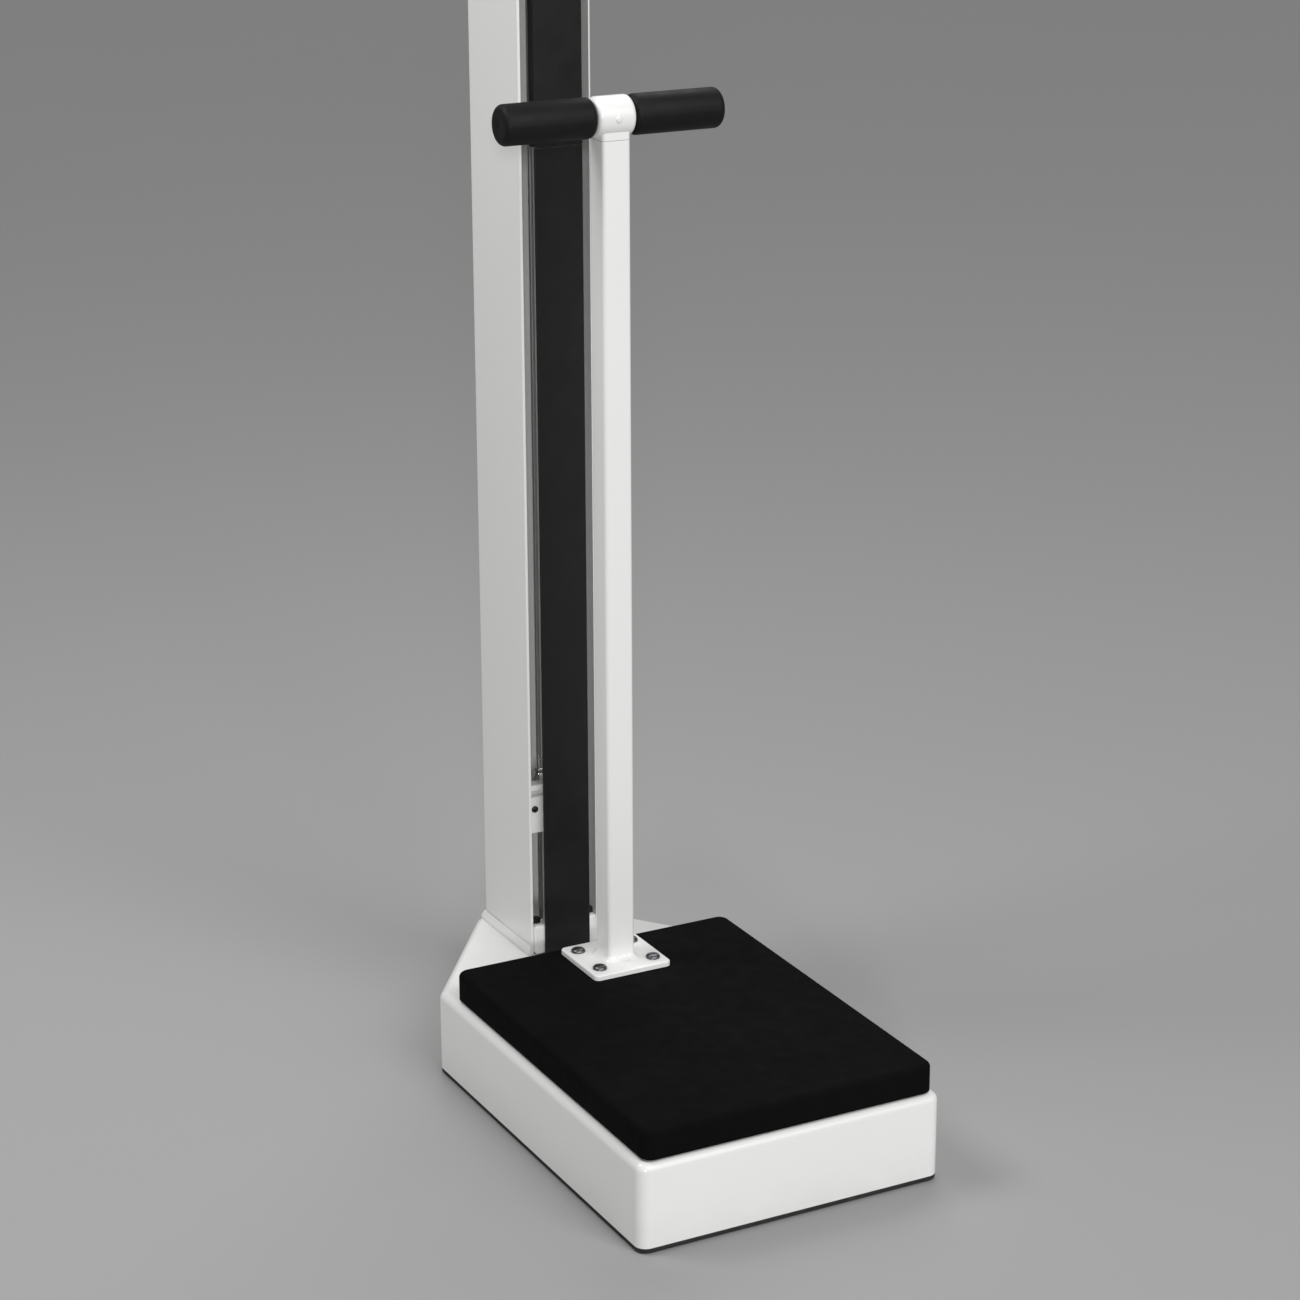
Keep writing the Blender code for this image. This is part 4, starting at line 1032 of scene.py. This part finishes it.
def number_mesh(text, x, y, z, size, side):
    """Raised figures that face -Y (side -1) or +Y (side 1), standing on the height z."""
    curve = bpy.data.curves.new("figures", "FONT")
    curve.body = text
    curve.size = size
    curve.align_x = "CENTER"
    curve.extrude = 0.15 * MM
    curve.resolution_u = 3
    holder = bpy.data.objects.new("figures", curve)
    bpy.context.scene.collection.objects.link(holder)
    bpy.context.view_layer.update()
    depsgraph = bpy.context.evaluated_depsgraph_get()
    mesh = bpy.data.meshes.new_from_object(holder.evaluated_get(depsgraph))
    builder = bmesh.new()
    builder.from_mesh(mesh)
    turn = Matrix.Rotation(pi / 2, 4, "X")
    if side > 0:
        turn = Matrix.Rotation(pi, 4, "Z") @ turn
    builder.transform(Matrix.Translation((x, y, z)) @ turn)
    bpy.data.objects.remove(holder, do_unlink=True)
    bpy.data.curves.remove(curve)
    bpy.data.meshes.remove(mesh)
    return builder


def knurled(axis, centre, radius, span, teeth=26, depth=0.5 * MM):
    """A knurled disc with chamfered rims."""
    first, last = span
    chamfer = (last - first) * 0.16

    def ring(scale, along, knurl=True):
        reaches = [scale - (depth if knurl and i % 2 else 0) for i in range(teeth * 2)]
        return ring_at(axis, centre, along, reaches)

    return loft([
        ring(radius - depth * 2, first, False), ring(radius, first + chamfer),
        ring(radius, last - chamfer), ring(radius - depth * 2, last, False),
    ])


def make_balance():
    low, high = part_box("balance_screw")
    y, z = middle("balance_screw").yz
    head_end = low.x + 10.5 * MM
    head = make_object("balance_screw_head", knurled("X", (y, z), 8 * MM, (low.x, head_end)), 40)
    half_slot, slot_reach = 0.6 * MM, 9 * MM
    slot = box((low.x - MM, y - half_slot, z - slot_reach),
               (low.x + 1.4 * MM, y + half_slot, z + slot_reach))
    carve(head, slot)
    finish_piece(head, STEEL, "bright_steel", "balance_screw", "balance_screw")
    threaded = (head_end - 0.2 * MM, high.x)
    helix = thread("X", (y, z), 2.5 * MM, 0.45 * MM, SMALL_PITCH, threaded)
    shank = make_object("balance_screw_thread", helix, 40)
    finish_piece(shank, STEEL, "bright_steel", "balance_screw")
    refine("balance_weight", BRASS, "brass", 1.0 * MM, 4)


def make_poises():
    refine("main_poise", BLACK, "black_enamel", 1.6 * MM, 4)
    refine("small_poise", BLACK, "black_enamel", 0.8 * MM, 4)
    for node, body, z_low, z_high, half in (
        ("main_poise", "main_poise", 1426.5 * MM, 1430.5 * MM, 1.6 * MM),
        ("small_poise", "small_poise", 1460.3 * MM, 1463 * MM, 0.9 * MM),
    ):
        low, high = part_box(node)
        x = middle(node).x
        points = [(x - half, z_high), (x, z_low), (x + half, z_high)]
        arrows = []
        for face, side in ((low.y, -1), (high.y, 1)):
            span = sorted((face + side * 0.12 * MM, face - side * 0.3 * MM))
            arrows.append(prism(points, "Y", span))
        arrow = make_object(node + "_index", join_builders(arrows))
        finish_piece(arrow, WHITE_INK, "white_enamel", body)

    low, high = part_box("poise_knob")
    x, _, z = middle("poise_knob")
    parts = [
        knurled("Y", (x, z), 7 * MM, (low.y, low.y + 5 * MM), 24),
        turned([(low.y + 5 * MM, 4 * MM), (high.y, 4 * MM)], "Y", (x, z), 32),
    ]
    knob = make_object("poise_thumb_screw", join_builders(parts), 40)
    finish_piece(knob, STEEL, "bright_steel", "main_poise", "poise_knob")


# --- Stage -----------------------------------------------------------------------------

def make_floor():
    """A plain, matt studio floor that reaches far past the picture."""
    paper = Finish("studio_paper", (0.36, 0.36, 0.36), 0.9, Specular_IOR_Level=0.0)
    paper.tint(paper.ramp(paper.noise(1.2, 2), 0.3, 0.8, 0.0, 0.3), (0.345, 0.345, 0.345))
    builder = bmesh.new()
    bmesh.ops.create_grid(builder, x_segments=8, y_segments=8, size=40.0)
    floor_piece = make_object("studio_floor", builder)
    floor_piece.data.materials.append(paper.material)


def area_light(name, place, target, size, power):
    light = bpy.data.lights.new(name, "AREA")
    light.shape = "RECTANGLE"
    light.size, light.size_y = size
    light.energy = power
    holder = bpy.data.objects.new(name, light)
    holder.location = place
    holder.rotation_euler = (Vector(target) - Vector(place)).to_track_quat("-Z", "Y").to_euler()
    holder.visible_camera = False
    bpy.context.scene.collection.objects.link(holder)


def sun(name, azimuth, elevation, strength, width=35):
    """A wide, soft sun; azimuth 0 shines on the front, 90 on the right side."""
    light = bpy.data.lights.new(name, "SUN")
    light.energy = strength
    light.angle = radians(width)
    holder = bpy.data.objects.new(name, light)
    azimuth, elevation = radians(azimuth), radians(elevation)
    level = cos(elevation)
    towards = Vector((sin(azimuth) * level, -cos(azimuth) * level, sin(elevation)))
    holder.rotation_euler = (-towards).to_track_quat("-Z", "Y").to_euler()
    bpy.context.scene.collection.objects.link(holder)


def make_lights():
    area_light("front_softbox", (0.3, -2.6, 3.1), (0, 0, 0.8), (1.8, 1.8), 54)
    area_light("left_softbox", (-1.15, 0.55, 2.2), (0, 0.1, 1.0), (0.9, 0.9), 21)
    sun("front_key", 20, 25, 0.7)
    sun("camera_fill", -26, 13, 0.9, 6)
    sun("rear_fill", 150, 48, 0.75)
    world = bpy.data.worlds.new("studio_world")
    world.use_nodes = True
    background = world.node_tree.nodes["Background"]
    background.inputs["Color"].default_value = (1, 1, 1, 1)
    background.inputs["Strength"].default_value = 0.24
    bpy.context.scene.world = world
    bpy.context.scene.view_settings.view_transform = "Standard"


def make_camera():
    """The view from the front left, a little above the scale's middle."""
    pitch, yaw, roll = radians(18.265), radians(27.767), -0.0032
    forward = Vector((sin(yaw) * cos(pitch), cos(yaw) * cos(pitch), -sin(pitch)))
    camera = bpy.data.cameras.new("view_camera")
    camera.sensor_width = 36
    camera.lens = 90.49
    holder = bpy.data.objects.new("view_camera", camera)
    holder.location = (-1.2002, -2.2923, 1.2607)
    holder.rotation_mode = "QUATERNION"
    holder.rotation_quaternion = forward.to_track_quat("-Z", "Y") @ Quaternion((0, 0, 1), roll)
    bpy.context.scene.collection.objects.link(holder)
    bpy.context.scene.camera = holder


make_camera()
make_base_cover()
make_shadow_line_strip()
make_feet()
make_under_frame()
make_column()
make_strips()
make_platform()
make_flange()
make_post()
make_tee()
make_handle()
make_rod()
make_shelf()
make_stand_and_loop()
make_beam()
make_marks()
make_balance()
make_poises()
make_floor()
make_lights()
